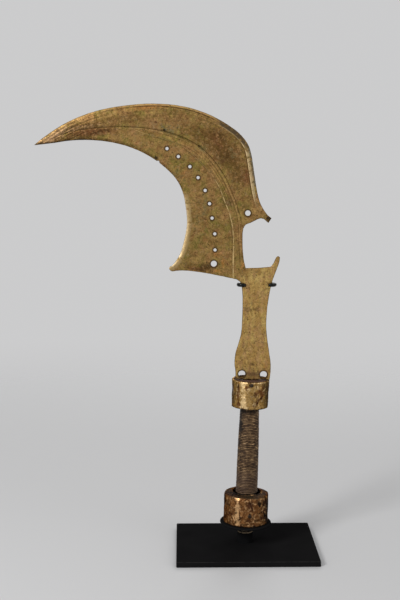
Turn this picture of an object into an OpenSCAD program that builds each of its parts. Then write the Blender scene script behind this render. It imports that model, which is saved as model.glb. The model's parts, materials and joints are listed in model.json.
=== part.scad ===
// Sickle knife with a forged brass blade and a wire-bound wooden handle, held upright by a display stand.
// X is across the blade, Y is away from the viewer, Z is up, and the origin is under the base plate.

/* [Stand] */
// Width of the base plate
plate_w = 130; // [110:1:180]
// Depth of the base plate
plate_d = 105; // [90:1:160]
// Thickness of the base plate
plate_t = 5; // [4:0.5:12]
// Corner radius of the base plate
plate_corner = 1.5; // [0.5:0.5:8]
// Lean of the knife towards +X, in degrees
lean = 1.7; // [0:0.1:4]
// Height of the support disc's top face, which the pommel stands on
seat_h = 25.5; // [18:0.5:60]
// Diameter of the support disc
disc_d = 48; // [44:0.5:60]
// Thickness of the support disc
disc_t = 2; // [1.5:0.1:4]
// Diameter of the stem under the disc
stem_d = 14; // [11:0.5:24]
// Diameter of the screw that holds the stem to the plate
screw_d = 5; // [3:0.5:6]
// Depth that the screw reaches into the stem
screw_grip = 11; // [6:0.5:12]
// Diameter of the rod behind the handle
rod_d = 4; // [3:0.5:6]
// Clear space between the disc or the pommel and the rod behind it
rod_gap = 2; // [1:0.5:8]
// Depth of the rod's foot in the base plate
rod_foot = 3.5; // [2:0.5:3.5]
// Bend radius at the top of the rod
rod_bend = 9; // [6:0.5:14]
// Diameter of the wire yoke that holds the neck
yoke_d = 2.4; // [1.6:0.2:3]
// Wall of the soft sleeves on the yoke's prongs
prong_wall = 0.6; // [0.3:0.1:0.8]
// Height of the yoke above the collar's top
prong_rise = 88; // [84:0.5:88]
// Reach of the left prong over the blade's front face
left_reach = 4; // [2:0.5:7]
// Reach of the right prong over the blade's front face
right_reach = 2.8; // [2:0.2:7]

/* [Handle] */
// Diameter of the pommel
pommel_d = 41.4; // [38:0.2:44]
// Height of the pommel's outer rim
pommel_h = 27.2; // [22:0.2:34]
// Rise of the pommel's cap from its rim to its mouth
pommel_dome = 1.8; // [0.6:0.2:4]
// Diameter of the mouth in the pommel's cap
mouth_d = 27.2; // [24:0.2:30]
// Depth of the well under the pommel's rim
well_depth = 7; // [4:0.5:12]
// Turned-down lip round the mouth
mouth_lip = 2.2; // [1:0.2:4]
// Length of the grip between the pommel's rim and the collar
grip_len = 82.8; // [70:0.2:100]
// Height above the pommel's rim where the winding starts, or below it when negative
winding_start = -1; // [-3:0.2:8]
// Diameter over the winding at its lower end
grip_d_low = 20.4; // [17:0.2:21]
// Diameter over the winding at its upper end
grip_d_top = 17.4; // [16:0.2:19]
// How late the grip narrows on its way up: 1 is an even taper, and more keeps it thick for longer
grip_curve = 2.5; // [1:0.25:3]
// Turns of the winding
turns = 24; // [16:1:24]
// Radial thickness of the wound strand
strand_t = 1.5; // [1.2:0.1:1.8]
// Width of the wound strand along the grip
strand_w = 2.5; // [1.2:0.1:2.6]
// Height of the collar under the blade
collar_h = 25.5; // [22:0.5:36]
// Diameter of the collar at its lower end
collar_d_low = 33.6; // [30:0.2:36]
// Diameter of the collar at its upper end
collar_d_top = 34.2; // [31:0.2:38]
// Width of the collar's turned-over lips
collar_lip = 2.4; // [1.6:0.2:4]
// Thickness of the sheet on the collar and pommel
sheet_t = 0.6; // [0.4:0.1:1]
// Width of the lap where each sheet closes at the back, in degrees
lap = 22; // [14:1:40]
// Length of the grip's ends inside the pommel's floor and the collar
tenon_h = 6; // [4:0.5:9]
// Diameter of the grip's end inside the collar
tenon_d = 11.6; // [11:0.2:12.4]
// Diameter of a tack's head
tack_head = 3.4; // [2.4:0.2:4]
// Diameter of a tack's shank
tack_d = 1.2; // [0.8:0.1:1.6]
// Length of a tack's shank
tack_len = 7; // [4:0.5:9]

/* [Blade] */
// Thickness of the blade
blade_t = 2.8; // [2:0.1:3.6]
// Thickness left at the ground edges
edge_t = 0.7; // [0.4:0.1:1.4]
// Width of the bevel along the outer edge
outer_bevel = 4.2; // [2:0.2:5]
// Width of the bevel along the inner edge
inner_bevel = 2; // [1:0.2:3]
// Width of the softened corner along the other edges
soft_bevel = 0.5; // [0.2:0.1:0.8]
// Height of the rib above the blade's face
rib_h = 0.6; // [0.3:0.1:1]
// Width of the engraved line
line_w = 1; // [0.6:0.1:1.6]
// Depth of the engraved line
line_depth = 0.35; // [0.2:0.05:0.6]
// Diameter of the holes in the row
hole_d = 3.1; // [2.4:0.1:4.6]
// Diameter of the larger hole over the heel
heel_hole_d = 5.6; // [4.6:0.2:7]
// Diameter of the larger hole beside the barb
lobe_hole_d = 5.2; // [4:0.2:7]
// Diameter of the eyelets above the collar
eyelet_d = 6.6; // [5:0.2:6.6]
// Width of the tang under the blade
tang_w = 14; // [10:0.5:16]
// Width of the tang where it enters the grip
tang_grip_w = 8; // [6:0.2:8.4]
// Width of the tang at its end
tang_end_w = 5; // [3:0.5:6]
// Length of the tang
tang_len = 95; // [70:1:98]

/* [Fits] */
// Clearance of the wooden parts round the tang and the tenons
wood_fit = 0.1; // [0.05:0.05:0.2]
// Clearance of screws, tacks and rods in their holes
pin_fit = 0.05; // [0.02:0.01:0.1]
// Clearance of the prongs round the neck
prong_fit = 0.35; // [0.3:0.05:1]
// Clearance inside the right prong's bend, where the neck stands off it
right_fit = 1; // [0.3:0.05:1.6]

/* [Hidden] */
$fn = 96;
BRASS = "#b08d4a";
COPPER = "#a9713c";
WOOD = "#5b4330";
WIRE = "#6d5b45";
STEEL = "#1c1c1e";

// Heights along the handle, measured from the pommel's underside
collar_z = pommel_h + grip_len;
blade_z = collar_z + collar_h;
well_z = pommel_h - well_depth;
winding_z = pommel_h + winding_start;
pommel_r = pommel_d / 2;
mouth_r = mouth_d / 2;

// Smooth curve through chosen points, with even tangents whatever the spacing
function gap_root(a, b) = sqrt(norm(b - a));
function leave(p0, p1, p2) = let (a = gap_root(p0, p1), b = gap_root(p1, p2))
    b * ((p1 - p0) / a - (p2 - p0) / (a + b) + (p2 - p1) / b);
function arrive(p1, p2, p3) = let (b = gap_root(p1, p2), c = gap_root(p2, p3))
    b * ((p2 - p1) / b - (p3 - p1) / (b + c) + (p3 - p2) / c);
function blend(p1, p2, m1, m2, t) = (2 * t ^ 3 - 3 * t ^ 2 + 1) * p1 + (t ^ 3 - 2 * t ^ 2 + t) * m1
    + (3 * t ^ 2 - 2 * t ^ 3) * p2 + (t ^ 3 - t ^ 2) * m2;
function before(p, i) = i > 0 ? p[i - 1] : 2 * p[0] - p[1];
function after(p, i) = i < len(p) - 1 ? p[i + 1] : 2 * p[i] - p[i - 1];
function curve(p, steps) = [
    for (i = [0:len(p) - 2])
        let (m1 = leave(before(p, i), p[i], p[i + 1]), m2 = arrive(p[i], p[i + 1], after(p, i + 1)))
            for (k = [0:steps - 1]) blend(p[i], p[i + 1], m1, m2, k / steps)
];

// Outline of the blade seen from the front, clockwise from the tip, in millimetres from the collar's top.
// Each run holds its points, the steps between two points, and the bevel at its start, middle and end.
outer_edge = [[-201.6, 208.2], [-191, 217.1], [-172.5, 229.3], [-148, 239.7], [-122.5, 245.4], [-96, 248.1],
    [-69, 246.5], [-44.5, 239.5], [-24, 228.5], [-15.9, 222], [-9.8, 214], [-6.8, 206], [-3.5, 189],
    [0, 171.5], [2.7, 162.7], [6.7, 155.8], [10.1, 151.5]];
barb_end = [[10.1, 151.5], [13.5, 148.9]];
barb_tip = [[13.5, 148.9], [10.9, 144.7]];
barb_back = [[10.9, 144.7], [6.7, 148.1]];
lobe_foot = [[6.7, 148.1], [3.3, 148.6], [-4.7, 144.6], [-9.7, 142.4], [-11.8, 138.8]];
stem_side = [[-11.8, 138.8], [-12.2, 133], [-11.6, 121], [-10.4, 111], [-8.3, 102.8]];
neck_top = [[-8.3, 102.8], [5.5, 103.6], [14.6, 104.7]];
spur_side = [[14.6, 104.7], [17.3, 108.6], [19.4, 113.5], [21, 114.6]];
spur_tip = [[21, 114.6], [22.6, 113.7]];
neck_right = [[22.6, 113.7], [22.1, 109], [18.3, 97.5], [15.9, 89], [13.9, 77.5], [12.5, 61], [12.5, 50],
    [13.6, 39.5], [16.2, 25], [17.8, 16], [18.1, 7], [17.4, 0]];
neck_foot = [[17.4, 0], [-14, 0]];
neck_left = [[-14, 0], [-14.2, 6], [-15.4, 15], [-14.7, 24.5], [-12.3, 33.5], [-10.3, 42.5], [-9.7, 56],
    [-9.9, 70], [-10.7, 83], [-12.4, 89.7], [-16.3, 92.4]];
heel = [[-16.3, 92.4], [-31.5, 95.2], [-49, 98], [-66, 99.2], [-72.3, 98.6]];
heel_knob = [[-72.3, 98.6], [-74.8, 98.1], [-77, 98.9], [-77.9, 100.7], [-77, 102.4], [-75.3, 103]];
inner_edge = [[-75.3, 103], [-73.2, 105.9], [-68.6, 113.5], [-64.7, 128], [-62.8, 142], [-64.5, 157.5],
    [-68, 171.5], [-74, 182], [-83.7, 191.5], [-98, 201.3], [-114.5, 208.5], [-131.5, 212.6],
    [-150, 214.2], [-167.5, 213.4], [-185, 210.6], [-201.6, 208.2]];
tip_bevel = 0.3;
RUNS = [
    [outer_edge, 4, tip_bevel, outer_bevel, soft_bevel],
    [barb_end, 1, soft_bevel, soft_bevel, soft_bevel],
    [barb_tip, 1, soft_bevel, soft_bevel, soft_bevel],
    [barb_back, 1, soft_bevel, soft_bevel, soft_bevel],
    [lobe_foot, 3, soft_bevel, soft_bevel, soft_bevel],
    [stem_side, 3, soft_bevel, soft_bevel, soft_bevel],
    [neck_top, 2, soft_bevel, soft_bevel, soft_bevel],
    [spur_side, 2, soft_bevel, soft_bevel, soft_bevel],
    [spur_tip, 1, soft_bevel, soft_bevel, soft_bevel],
    [neck_right, 3, soft_bevel, soft_bevel, soft_bevel],
    [neck_foot, 1, soft_bevel, soft_bevel, soft_bevel],
    [neck_left, 3, soft_bevel, soft_bevel, soft_bevel],
    [heel, 3, soft_bevel, soft_bevel, soft_bevel],
    [heel_knob, 2, soft_bevel, soft_bevel, soft_bevel],
    [inner_edge, 3, soft_bevel, inner_bevel, tip_bevel],
];
// Share of a run over which its bevel grows or fades
bevel_fade = 0.16;
function bevel_at(run, s) = s < bevel_fade ? run[2] + (run[3] - run[2]) * s / bevel_fade
    : s > 1 - bevel_fade ? run[4] + (run[3] - run[4]) * (1 - s) / bevel_fade
    : run[3];
OUTLINE = [for (run = RUNS) each curve(run[0], run[1])];
BEVELS = [
    for (run = RUNS)
        let (n = (len(run[0]) - 1) * run[1])
            for (k = [0:n - 1]) bevel_at(run, k / n)
];
function unit(v) = v / norm(v);
function inward(p, i) = let (n = len(p), a = unit(p[i] - p[(i + n - 1) % n]), b = unit(p[(i + 1) % n] - p[i]))
    unit([a.y + b.y, -a.x - b.x]);
// A bevel falls this much for each millimetre of its width, until the edge's thickness is reached
bevel_slope = 0.6;
function edge_half(bevel) = max(edge_t / 2, blade_t / 2 - bevel * bevel_slope);

// Places on the blade, in millimetres from the collar's top
ROW_HOLES = [[-82.7, 208.7], [-72.3, 201.9], [-61.7, 193.2], [-54, 183.6], [-47.3, 172.3], [-43, 160.5],
    [-40.3, 147.5], [-37.4, 133.3], [-36.7, 118.7]];
HEEL_HOLE = [-37.4, 106.1];
LOBE_HOLE = [-8, 153];
EYELETS = [[-8.4, 4.8], [11.7, 4.7]];
PUNCH_MARKS = [[-85.5, 225.1], [-53.9, 211.6]];
punch_d = 1.6;
punch_depth = 0.5;
NICK = [-90.5, 196.4];
nick_d = 2.6;

// The rib's inner and outer side, point beside point, from where it rises to where it dies out in the neck
RIB_INNER = [[-112, 224.2], [-99, 219.8], [-85, 216.5], [-70, 211], [-57.5, 201], [-46, 190], [-36.5, 177.5],
    [-30.5, 164], [-25, 151], [-22, 138.5], [-20.8, 127], [-20.5, 112], [-20, 95]];
RIB_OUTER = [[-112, 226.1], [-96, 225], [-80, 221.6], [-65, 216.6], [-52, 209.5], [-39.5, 197], [-30, 183.5],
    [-23.3, 170], [-18.4, 158], [-15.2, 146], [-14.2, 133.5], [-13.2, 121], [-11.4, 104]];
// Share of the way across the rib, and share of its height
RIB_SECTION = [[0, -0.6], [0.07, 1], [0.2, 0.5], [0.5, 0.35], [0.8, 0.6], [0.92, 1], [1, -0.6]];
rib_steps = 3;
rib_fade_rows = 9;
rib_foot_rows = 3;
rib_sink = 0.2;
rib_root = 0.8;
// The engraved line runs from near the tip along the rib's outer side
LINE = [[-193, 212.6], [-183, 215.8], [-168.5, 221.2], [-147, 225], [-120, 226.8], [-98, 225.8], [-81, 222.9],
    [-65.4, 217.7], [-52, 210.4], [-39, 197.9], [-29.2, 184], [-22.5, 170.3], [-17.6, 158.2], [-14.4, 148],
    [-13.3, 144]];
line_steps = 2;

// Solid through a row of rings with the same number of points, closed by its first and last ring,
// or a closed band when the last ring meets the first
module loft(rings, closed = false) {
    m = len(rings[0]);
    n = len(rings);
    last = closed ? n - 1 : n - 2;
    function at(k, i) = (k % n) * m + i % m;
    polyhedron(
        points = [for (ring = rings) each ring],
        faces = concat(
            closed ? [] : [[for (i = [0:m - 1]) i], [for (i = [m - 1:-1:0]) (n - 1) * m + i]],
            [for (k = [0:last]) for (i = [0:m - 1]) [at(k + 1, i), at(k + 1, i + 1), at(k, i + 1)]],
            [for (k = [0:last]) for (i = [0:m - 1]) [at(k + 1, i), at(k, i + 1), at(k, i)]]
        )
    );
}

// Places children in the leaning knife's own frame, with z measured from the pommel's underside
module on_knife(z = 0) {
    translate([0, 0, seat_h]) rotate([0, lean, 0]) translate([0, 0, z]) children();
}

// The flat blade before its bevels are ground
module blade_plate() {
    translate([0, blade_t / 2, 0]) rotate([90, 0, 0]) linear_extrude(blade_t) polygon(OUTLINE);
}

// What grinding takes off the front face along the whole outline; the tool passes each limit by this much
grind_over = 0.2;
function grind_ring(i) = let (
        p = OUTLINE[i],
        into = inward(OUTLINE, i),
        width = BEVELS[i],
        face = blade_t / 2,
        drop = face - edge_half(width),
        rise = drop * grind_over / width,
        inner = p + into * (width + grind_over),
        outer = p - into * grind_over,
        low = drop + rise - face
    )
        [[inner.x, -face - rise, inner.y], [outer.x, low, outer.y], [outer.x, -face - 1, outer.y]];

module bevel_cut() {
    loft([for (i = [0:len(OUTLINE) - 1]) grind_ring(i)], closed = true);
}

// The raised rib on the front face
module rib() {
    inner = curve(RIB_INNER, rib_steps);
    outer = curve(RIB_OUTER, rib_steps);
    rows = len(inner);
    face = blade_t / 2;
    loft([
        for (k = [rows - 1:-1:0])
            let (rise = min(1, k / rib_fade_rows, (rows - 1 - k) / rib_foot_rows))
                concat(
                    [for (s = RIB_SECTION) let (p = inner[k] + (outer[k] - inner[k]) * s[0])
                        [p.x, -face + rib_sink - (rib_sink + rib_h * s[1]) * rise, p.y]],
                    [[outer[k].x, -face + rib_root, outer[k].y], [inner[k].x, -face + rib_root, inner[k].y]]
                )
    ]);
}

// The groove cut by the engraved line on the front face
module line_cut() {
    path = curve(LINE, line_steps);
    last = len(path) - 1;
    face = blade_t / 2;
    loft([
        for (k = [0:last])
            let (
                side = unit(path[min(k + 1, last)] - path[max(k - 1, 0)]),
                across = [side.y, -side.x] * line_w / 2 * min(1, (k + 1) / 4),
                a = path[k] - across,
                b = path[k] + across,
                top = -face - line_depth
            )
                [[a.x, top, a.y], [b.x, top, b.y], [path[k].x, line_depth - face, path[k].y]]
    ]);
}

function tang_outline(c) = [
    [-tang_w / 2 - c, 2], [tang_w / 2 + c, 2], [tang_w / 2 + c, -4],
    [tang_grip_w / 2 + c, tenon_h - collar_h], [tang_end_w / 2 + c, -tang_len - c],
    [-tang_end_w / 2 - c, -tang_len - c], [-tang_grip_w / 2 - c, tenon_h - collar_h], [-tang_w / 2 - c, -4],
];

// The tang, or with a clearance the slot for it, from the blade's foot downwards
module tang(c = 0) {
    translate([0, blade_t / 2 + c, 0]) rotate([90, 0, 0])
        linear_extrude(blade_t + 2 * c) polygon(tang_outline(c));
}

module drill(places, d) {
    for (p = places) translate([p.x, blade_t, p.y]) rotate([90, 0, 0]) cylinder(d = d, h = 2 * blade_t);
}

module ground_plate() {
    difference() {
        union() {
            blade_plate();
            tang();
        }
        drill(ROW_HOLES, hole_d);
        drill([HEEL_HOLE], heel_hole_d);
        drill([LOBE_HOLE], lobe_hole_d);
        drill(EYELETS, eyelet_d);
        drill([NICK], nick_d);
        bevel_cut();
        mirror([0, 1, 0]) bevel_cut();
    }
}

module blade() {
    color(BRASS) on_knife(blade_z) difference() {
        union() {
            ground_plate();
            rib();
            mirror([0, 1, 0]) rib();
        }
        line_cut();
        mirror([0, 1, 0]) line_cut();
        for (p = PUNCH_MARKS) translate([p.x, punch_depth - blade_t / 2, p.y])
            rotate([90, 0, 0]) cylinder(d = punch_d, h = blade_t);
    }
}

// Place, angle and length along the radius for one tack: shank inwards, domed head outside
module tack(r, z, angle, extra = 0) {
    head_h = tack_head / 5;
    rotate([0, 0, angle]) translate([r, 0, z]) rotate([0, 90, 0]) {
        translate([0, 0, -tack_len]) cylinder(d = tack_d + 2 * extra, h = tack_len + 0.01);
        if (extra == 0) rotate_extrude() polygon([
            [0, 0.01], [tack_head / 2, 0.01], [tack_head / 2, head_h / 3],
            [tack_head / 3, head_h * 0.8], [tack_head / 8, head_h], [0, head_h]
        ]);
    }
}

// Angle of the front and of the back, and the heights of the tacks along the laps
FRONT = -90;
BACK = 90;
collar_r_low = collar_d_low / 2;
collar_r_top = collar_d_top / 2;
function collar_r(z) = collar_r_low + (collar_r_top - collar_r_low) * z / collar_h;
tack_inset = 4.5;
front_tack_z = collar_h - 2.6;
pommel_mark_z = 11;
pommel_mark_angle = 6;

// Radius at which a flat tack head seats on the tapered collar: its upper edge touches first
function tack_seat(z) = collar_r(z + tack_head / 2);

module collar_tack_set(extra = 0) {
    tack(tack_seat(front_tack_z), front_tack_z, FRONT, extra);
    for (z = [tack_inset, collar_h - tack_inset]) tack(tack_seat(z) + sheet_t, z, BACK, extra);
}

module pommel_tack_set(extra = 0) {
    tack(pommel_r, pommel_mark_z, FRONT + pommel_mark_angle, extra);
    for (z = [tack_inset, pommel_h - tack_inset]) tack(pommel_r + sheet_t, z, BACK, extra);
}

// Strip of sheet that laps over the sleeve at the back
module lap_strip(r_low, r_top, z_low, z_top) {
    rotate([0, 0, BACK - lap / 2]) rotate_extrude(angle = lap) polygon([
        [r_low - sheet_t / 2, z_low], [r_low + sheet_t, z_low],
        [r_top + sheet_t, z_top], [r_top - sheet_t / 2, z_top]
    ]);
}

module collar_core() {
    color(WOOD) on_knife(collar_z) difference() {
        translate([0, 0, sheet_t]) cylinder(
            r1 = collar_r(sheet_t) - sheet_t,
            r2 = collar_r(collar_h - sheet_t) - sheet_t,
            h = collar_h - 2 * sheet_t
        );
        translate([0, 0, -1]) cylinder(d = tenon_d + 2 * wood_fit, h = tenon_h + wood_fit + 1);
        translate([0, 0, collar_h]) tang(wood_fit);
        collar_tack_set(pin_fit);
    }
}

module collar_sleeve() {
    color(BRASS) on_knife(collar_z) difference() {
        union() {
            rotate_extrude() polygon([
                [collar_r_low - collar_lip, 0], [collar_r_low - 0.4, 0], [collar_r(0.4), 0.4],
                [collar_r(collar_h - 0.4), collar_h - 0.4], [collar_r_top - 0.4, collar_h],
                [collar_r_top - collar_lip, collar_h], [collar_r_top - collar_lip, collar_h - sheet_t],
                [collar_r(collar_h - sheet_t) - sheet_t, collar_h - sheet_t],
                [collar_r(sheet_t) - sheet_t, sheet_t], [collar_r_low - collar_lip, sheet_t]
            ]);
            lap_strip(collar_r(1), collar_r(collar_h - 1), 1, collar_h - 1);
        }
        collar_tack_set(pin_fit);
    }
}

module collar_tacks() {
    color(STEEL) on_knife(collar_z) collar_tack_set();
}

// Radius over the winding and of the wooden core, at a height above the pommel's underside
function grip_r(z) = let (share = max(0, (z - winding_z) / (collar_z - winding_z)))
    (grip_d_low + (grip_d_top - grip_d_low) * share ^ grip_curve) / 2;
function core_r(z) = grip_r(z) - strand_t - wood_fit;
core_steps = 8;
tenon_r_low = core_r(well_z) - 1.6;

module grip_core() {
    color(WOOD) on_knife() difference() {
        union() {
            rotate_extrude() polygon([
                [0, well_z], [core_r(well_z), well_z],
                for (k = [0:core_steps]) let (z = winding_z + (collar_z - winding_z) * k / core_steps)
                    [core_r(z), z],
                [0, collar_z]
            ]);
            translate([0, 0, collar_z - 1]) cylinder(d = tenon_d, h = tenon_h + 1);
            translate([0, 0, well_z - tenon_h]) cylinder(r = tenon_r_low, h = tenon_h + 1);
        }
        translate([0, 0, blade_z]) tang(wood_fit);
    }
}

// The winding: one strand of six sides that climbs the grip and turns up and down the grip at its ends
ring_sides = 6;
rings_per_turn = 24;
bend_steps = 4;
bend_r = 1.3;
end_run = strand_t;
taper_rings = 16;
climb_low = winding_z + end_run + bend_r;
climb_high = collar_z - end_run - bend_r;
pitch = (climb_high - climb_low) / turns;
function strand_r(z) = grip_r(z) - strand_t / 2;
function climb_angle(r) = atan(pitch / (2 * PI * r));
// A ring of the strand: angle round the grip, height, heading above the level, and width
function strand_ring(turn, z, heading, width) = let (
        r = strand_r(z),
        out = [cos(turn), sin(turn), 0],
        along = [-sin(turn), cos(turn), 0],
        across = [-sin(heading) * along.x, -sin(heading) * along.y, cos(heading)]
    ) [
        for (k = [0:ring_sides - 1]) let (a = 30 - 60 * k)
            out * (r + strand_t / 2 * cos(a) / cos(30)) + across * width / 2 * sin(a) + [0, 0, z]
    ];
function end_width(k, count) = strand_t
    + (strand_w - strand_t) * min(1, k / taper_rings, (count - k) / taper_rings);
// The bend from the climb to straight up or down, as distance round the grip and along it
function bend_round(h, slope) = bend_r * (sin(h) - sin(slope));
function bend_along(h, slope) = bend_r * (cos(slope) - cos(h));
STRAND = let (
        count = turns * rings_per_turn,
        low_slope = climb_angle(strand_r(climb_low)),
        high_slope = climb_angle(strand_r(climb_high)),
        low_deg = 180 / (PI * strand_r(climb_low)),
        high_deg = 180 / (PI * strand_r(climb_high)),
        top_turn = 360 * turns
    ) concat(
        [strand_ring(-bend_round(90, low_slope) * low_deg, winding_z, 90, strand_t)],
        [
            for (k = [bend_steps:-1:1]) let (h = low_slope + (90 - low_slope) * k / bend_steps)
                let (turn = -bend_round(h, low_slope) * low_deg)
                    strand_ring(turn, climb_low - bend_along(h, low_slope), h, strand_t)
        ],
        [
            for (k = [0:count]) let (z = climb_low + pitch * k / rings_per_turn)
                strand_ring(360 * k / rings_per_turn, z, climb_angle(strand_r(z)), end_width(k, count))
        ],
        [
            for (k = [1:bend_steps]) let (h = high_slope + (90 - high_slope) * k / bend_steps)
                let (turn = top_turn + bend_round(h, high_slope) * high_deg)
                    strand_ring(turn, climb_high + bend_along(h, high_slope), h, strand_t)
        ],
        [strand_ring(top_turn + bend_round(90, high_slope) * high_deg, collar_z, 90, strand_t)]
    );
// The least distance between a point of the strand and the points a turn further on
look_round = 4;
STRAND_GAP = min([
    for (k = [0:len(STRAND) - 1 - rings_per_turn + look_round])
        for (j = [k + rings_per_turn - look_round:min(len(STRAND) - 1, k + rings_per_turn + look_round)])
            for (a = STRAND[k]) for (b = STRAND[j]) norm(a - b)
]);
echo(strand_gap = STRAND_GAP, pitch = pitch);

module grip_winding() {
    color(WIRE) on_knife() loft(STRAND);
}

// Height of the cap's upper face at a radius
function cap_z(r) = pommel_h + pommel_dome * (pommel_r - r) / (pommel_r - mouth_r);

module pommel_core() {
    inner = mouth_r + sheet_t;
    outer = pommel_r - sheet_t;
    color(WOOD) on_knife() difference() {
        rotate_extrude() polygon([
            [tenon_r_low + wood_fit, sheet_t], [outer, sheet_t], [outer, cap_z(outer) - sheet_t],
            [inner, cap_z(inner) - sheet_t], [inner, well_z], [tenon_r_low + wood_fit, well_z]
        ]);
        pommel_tack_set(pin_fit);
    }
}

module pommel_cap() {
    inner = mouth_r + sheet_t;
    color(COPPER) on_knife() rotate_extrude() polygon([
        [pommel_r, cap_z(pommel_r) - sheet_t], [pommel_r, cap_z(pommel_r) - 0.2],
        [pommel_r - 0.3, cap_z(pommel_r - 0.3)], [mouth_r + 0.3, cap_z(mouth_r + 0.3)],
        [mouth_r, cap_z(mouth_r) - 0.3], [mouth_r, cap_z(mouth_r) - mouth_lip],
        [inner, cap_z(mouth_r) - mouth_lip], [inner, cap_z(inner) - sheet_t]
    ]);
}

module pommel_sleeve() {
    color(COPPER) on_knife() difference() {
        union() {
            rotate_extrude() polygon([
                [pommel_r - sheet_t, 0], [pommel_r - 0.3, 0], [pommel_r, 0.4],
                [pommel_r, pommel_h - sheet_t], [pommel_r - sheet_t, pommel_h - sheet_t]
            ]);
            lap_strip(pommel_r, pommel_r, 0.8, pommel_h - 1.2);
        }
        pommel_tack_set(pin_fit);
    }
}

module pommel_base() {
    color(COPPER) on_knife() cylinder(r = pommel_r - sheet_t, h = sheet_t);
}

module pommel_tacks() {
    color(STEEL) on_knife() pommel_tack_set();
}

// Rectangle about the origin with round corners
corner_steps = 6;
function rounded(w, d, r) = [
    for (c = [[1, 1, 0], [-1, 1, 90], [-1, -1, 180], [1, -1, 270]]) for (k = [0:corner_steps])
        let (a = c[2] + 90 * k / corner_steps)
            [c[0] * (w / 2 - r) + r * cos(a), c[1] * (d / 2 - r) + r * sin(a)]
];

// Place of the rod behind the handle, in the knife's frame
rod_y = max(disc_d / 2, pommel_r + sheet_t + tack_head / 5) + rod_gap + rod_d / 2;
screw_head = screw_d * 1.9;
screw_sink = (screw_head - screw_d) / 2;
head_depth = 0.3;

// The rod's straight part, as a tool with extra radius, from its foot in the plate to a height on the knife
module rod_shaft(extra, top) {
    intersection() {
        on_knife(-seat_h) translate([0, rod_y, -10]) cylinder(d = rod_d + 2 * extra, h = top + seat_h + 10);
        translate([-plate_w, -plate_d, plate_t - rod_foot - extra])
            cube([2 * plate_w, 2 * plate_d, seat_h + top + 10]);
    }
}

module base_plate() {
    color(STEEL) difference() {
        linear_extrude(plate_t) polygon(rounded(plate_w, plate_d, plate_corner));
        translate([0, 0, -1]) cylinder(d = screw_d + 2 * pin_fit, h = plate_t + 2);
        translate([0, 0, -0.01]) cylinder(d = screw_head + 2 * pin_fit, h = head_depth + 0.02);
        translate([0, 0, head_depth]) cylinder(
            d1 = screw_head + 2 * pin_fit, d2 = screw_d + 2 * pin_fit, h = screw_sink);
        rod_shaft(pin_fit, 0);
    }
}

module stem_screw() {
    slot_w = screw_d / 5;
    color(STEEL) difference() {
        union() {
            translate([0, 0, head_depth]) cylinder(d1 = screw_head, d2 = screw_d, h = screw_sink);
            translate([0, 0, head_depth]) cylinder(d = screw_d, h = plate_t + screw_grip - head_depth);
        }
        translate([-screw_head, -slot_w / 2, -1]) cube([2 * screw_head, slot_w, head_depth + 1 + slot_w]);
    }
}

module stem() {
    weld = 1.5;
    color(STEEL) difference() {
        intersection() {
            on_knife(-seat_h) rotate_extrude() polygon([
                [0, -5], [stem_d / 2, -5], [stem_d / 2, seat_h - disc_t - weld],
                [stem_d / 2 + weld, seat_h - disc_t], [0, seat_h - disc_t]
            ]);
            translate([-stem_d, -stem_d, plate_t]) cube([2 * stem_d, 2 * stem_d, seat_h]);
        }
        cylinder(d = screw_d + 2 * pin_fit, h = plate_t + screw_grip + 0.5);
    }
}

module support_disc() {
    color(STEEL) on_knife(-disc_t) rotate_extrude() polygon(concat(
        [[0, 0], [disc_d / 2 - disc_t / 2, 0]],
        [for (a = [-60:30:60]) [disc_d / 2 + disc_t / 2 * (cos(a) - 1), disc_t / 2 + disc_t / 2 * sin(a)]],
        [[disc_d / 2 - disc_t / 2, disc_t], [0, disc_t]]
    ));
}

// The neck's edges at the yoke's height
yoke_z = blade_z + prong_rise;
CROSSINGS = [
    for (i = [0:len(OUTLINE) - 1])
        let (a = OUTLINE[i], b = OUTLINE[(i + 1) % len(OUTLINE)])
            if ((a.y - prong_rise) * (b.y - prong_rise) < 0)
                a.x + (b.x - a.x) * (prong_rise - a.y) / (b.y - a.y)
];
neck_lo = min(CROSSINGS);
neck_hi = max(CROSSINGS);
prong_r = yoke_d / 2 + prong_wall;
// Distance from the blade's middle plane to the yoke's wire, in front and behind
yoke_y = blade_t / 2 + prong_fit + prong_r;
// The inside of a bend clears the corner between the neck's edge and its softened face
bend_in = yoke_y - prong_r;
bend_chord = sqrt(bend_in ^ 2 - edge_half(soft_bevel) ^ 2);
// Centres of the bends round the neck's edges
bend_lo = neck_lo + bend_chord - prong_fit;
bend_hi = neck_hi - bend_chord + right_fit;
sleeve_fit = 0.1;
// A straight length takes in the end of a bend by this much, and is this much fatter
lap_in = 0.3;
lap_over = 0.05;

// The yoke is level although the knife leans
module on_yoke() {
    on_knife(yoke_z) rotate([0, -lean, 0]) children();
}

// Straight wire along X from a to b, over the ends of the bends that it joins
module straight(a, b, r) {
    translate([a, 0, 0]) rotate([0, 90, 0]) cylinder(r = r + lap_over, h = b - a);
}

// One prong: the arm in front of the blade and the bend round the neck's edge; side is -1 at the left
module prong(centre, side, length, r) {
    overlap = side * lap_in;
    tip = -side * length;
    translate([centre, 0, 0]) {
        rotate([0, 0, side > 0 ? -90 : 90]) rotate_extrude(angle = 180) translate([yoke_y, 0, 0])
            circle(r = r);
        translate([0, -yoke_y, 0]) straight(min(overlap, tip), max(overlap, tip), r);
    }
}

left_len = left_reach - (bend_lo - neck_lo);
right_len = right_reach - (neck_hi - bend_hi);

module prong_yoke() {
    r = yoke_d / 2;
    color(STEEL) on_yoke() {
        prong(bend_lo, -1, left_len, r);
        prong(bend_hi, 1, right_len, r);
        translate([0, yoke_y, 0]) straight(bend_lo - lap_in, bend_hi + lap_in, r);
    }
}

module prong_sleeve(centre, side, length) {
    color(STEEL) on_yoke() difference() {
        prong(centre, side, length, prong_r);
        prong(centre, side, length + 1, yoke_d / 2 + sleeve_fit);
    }
}

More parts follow.
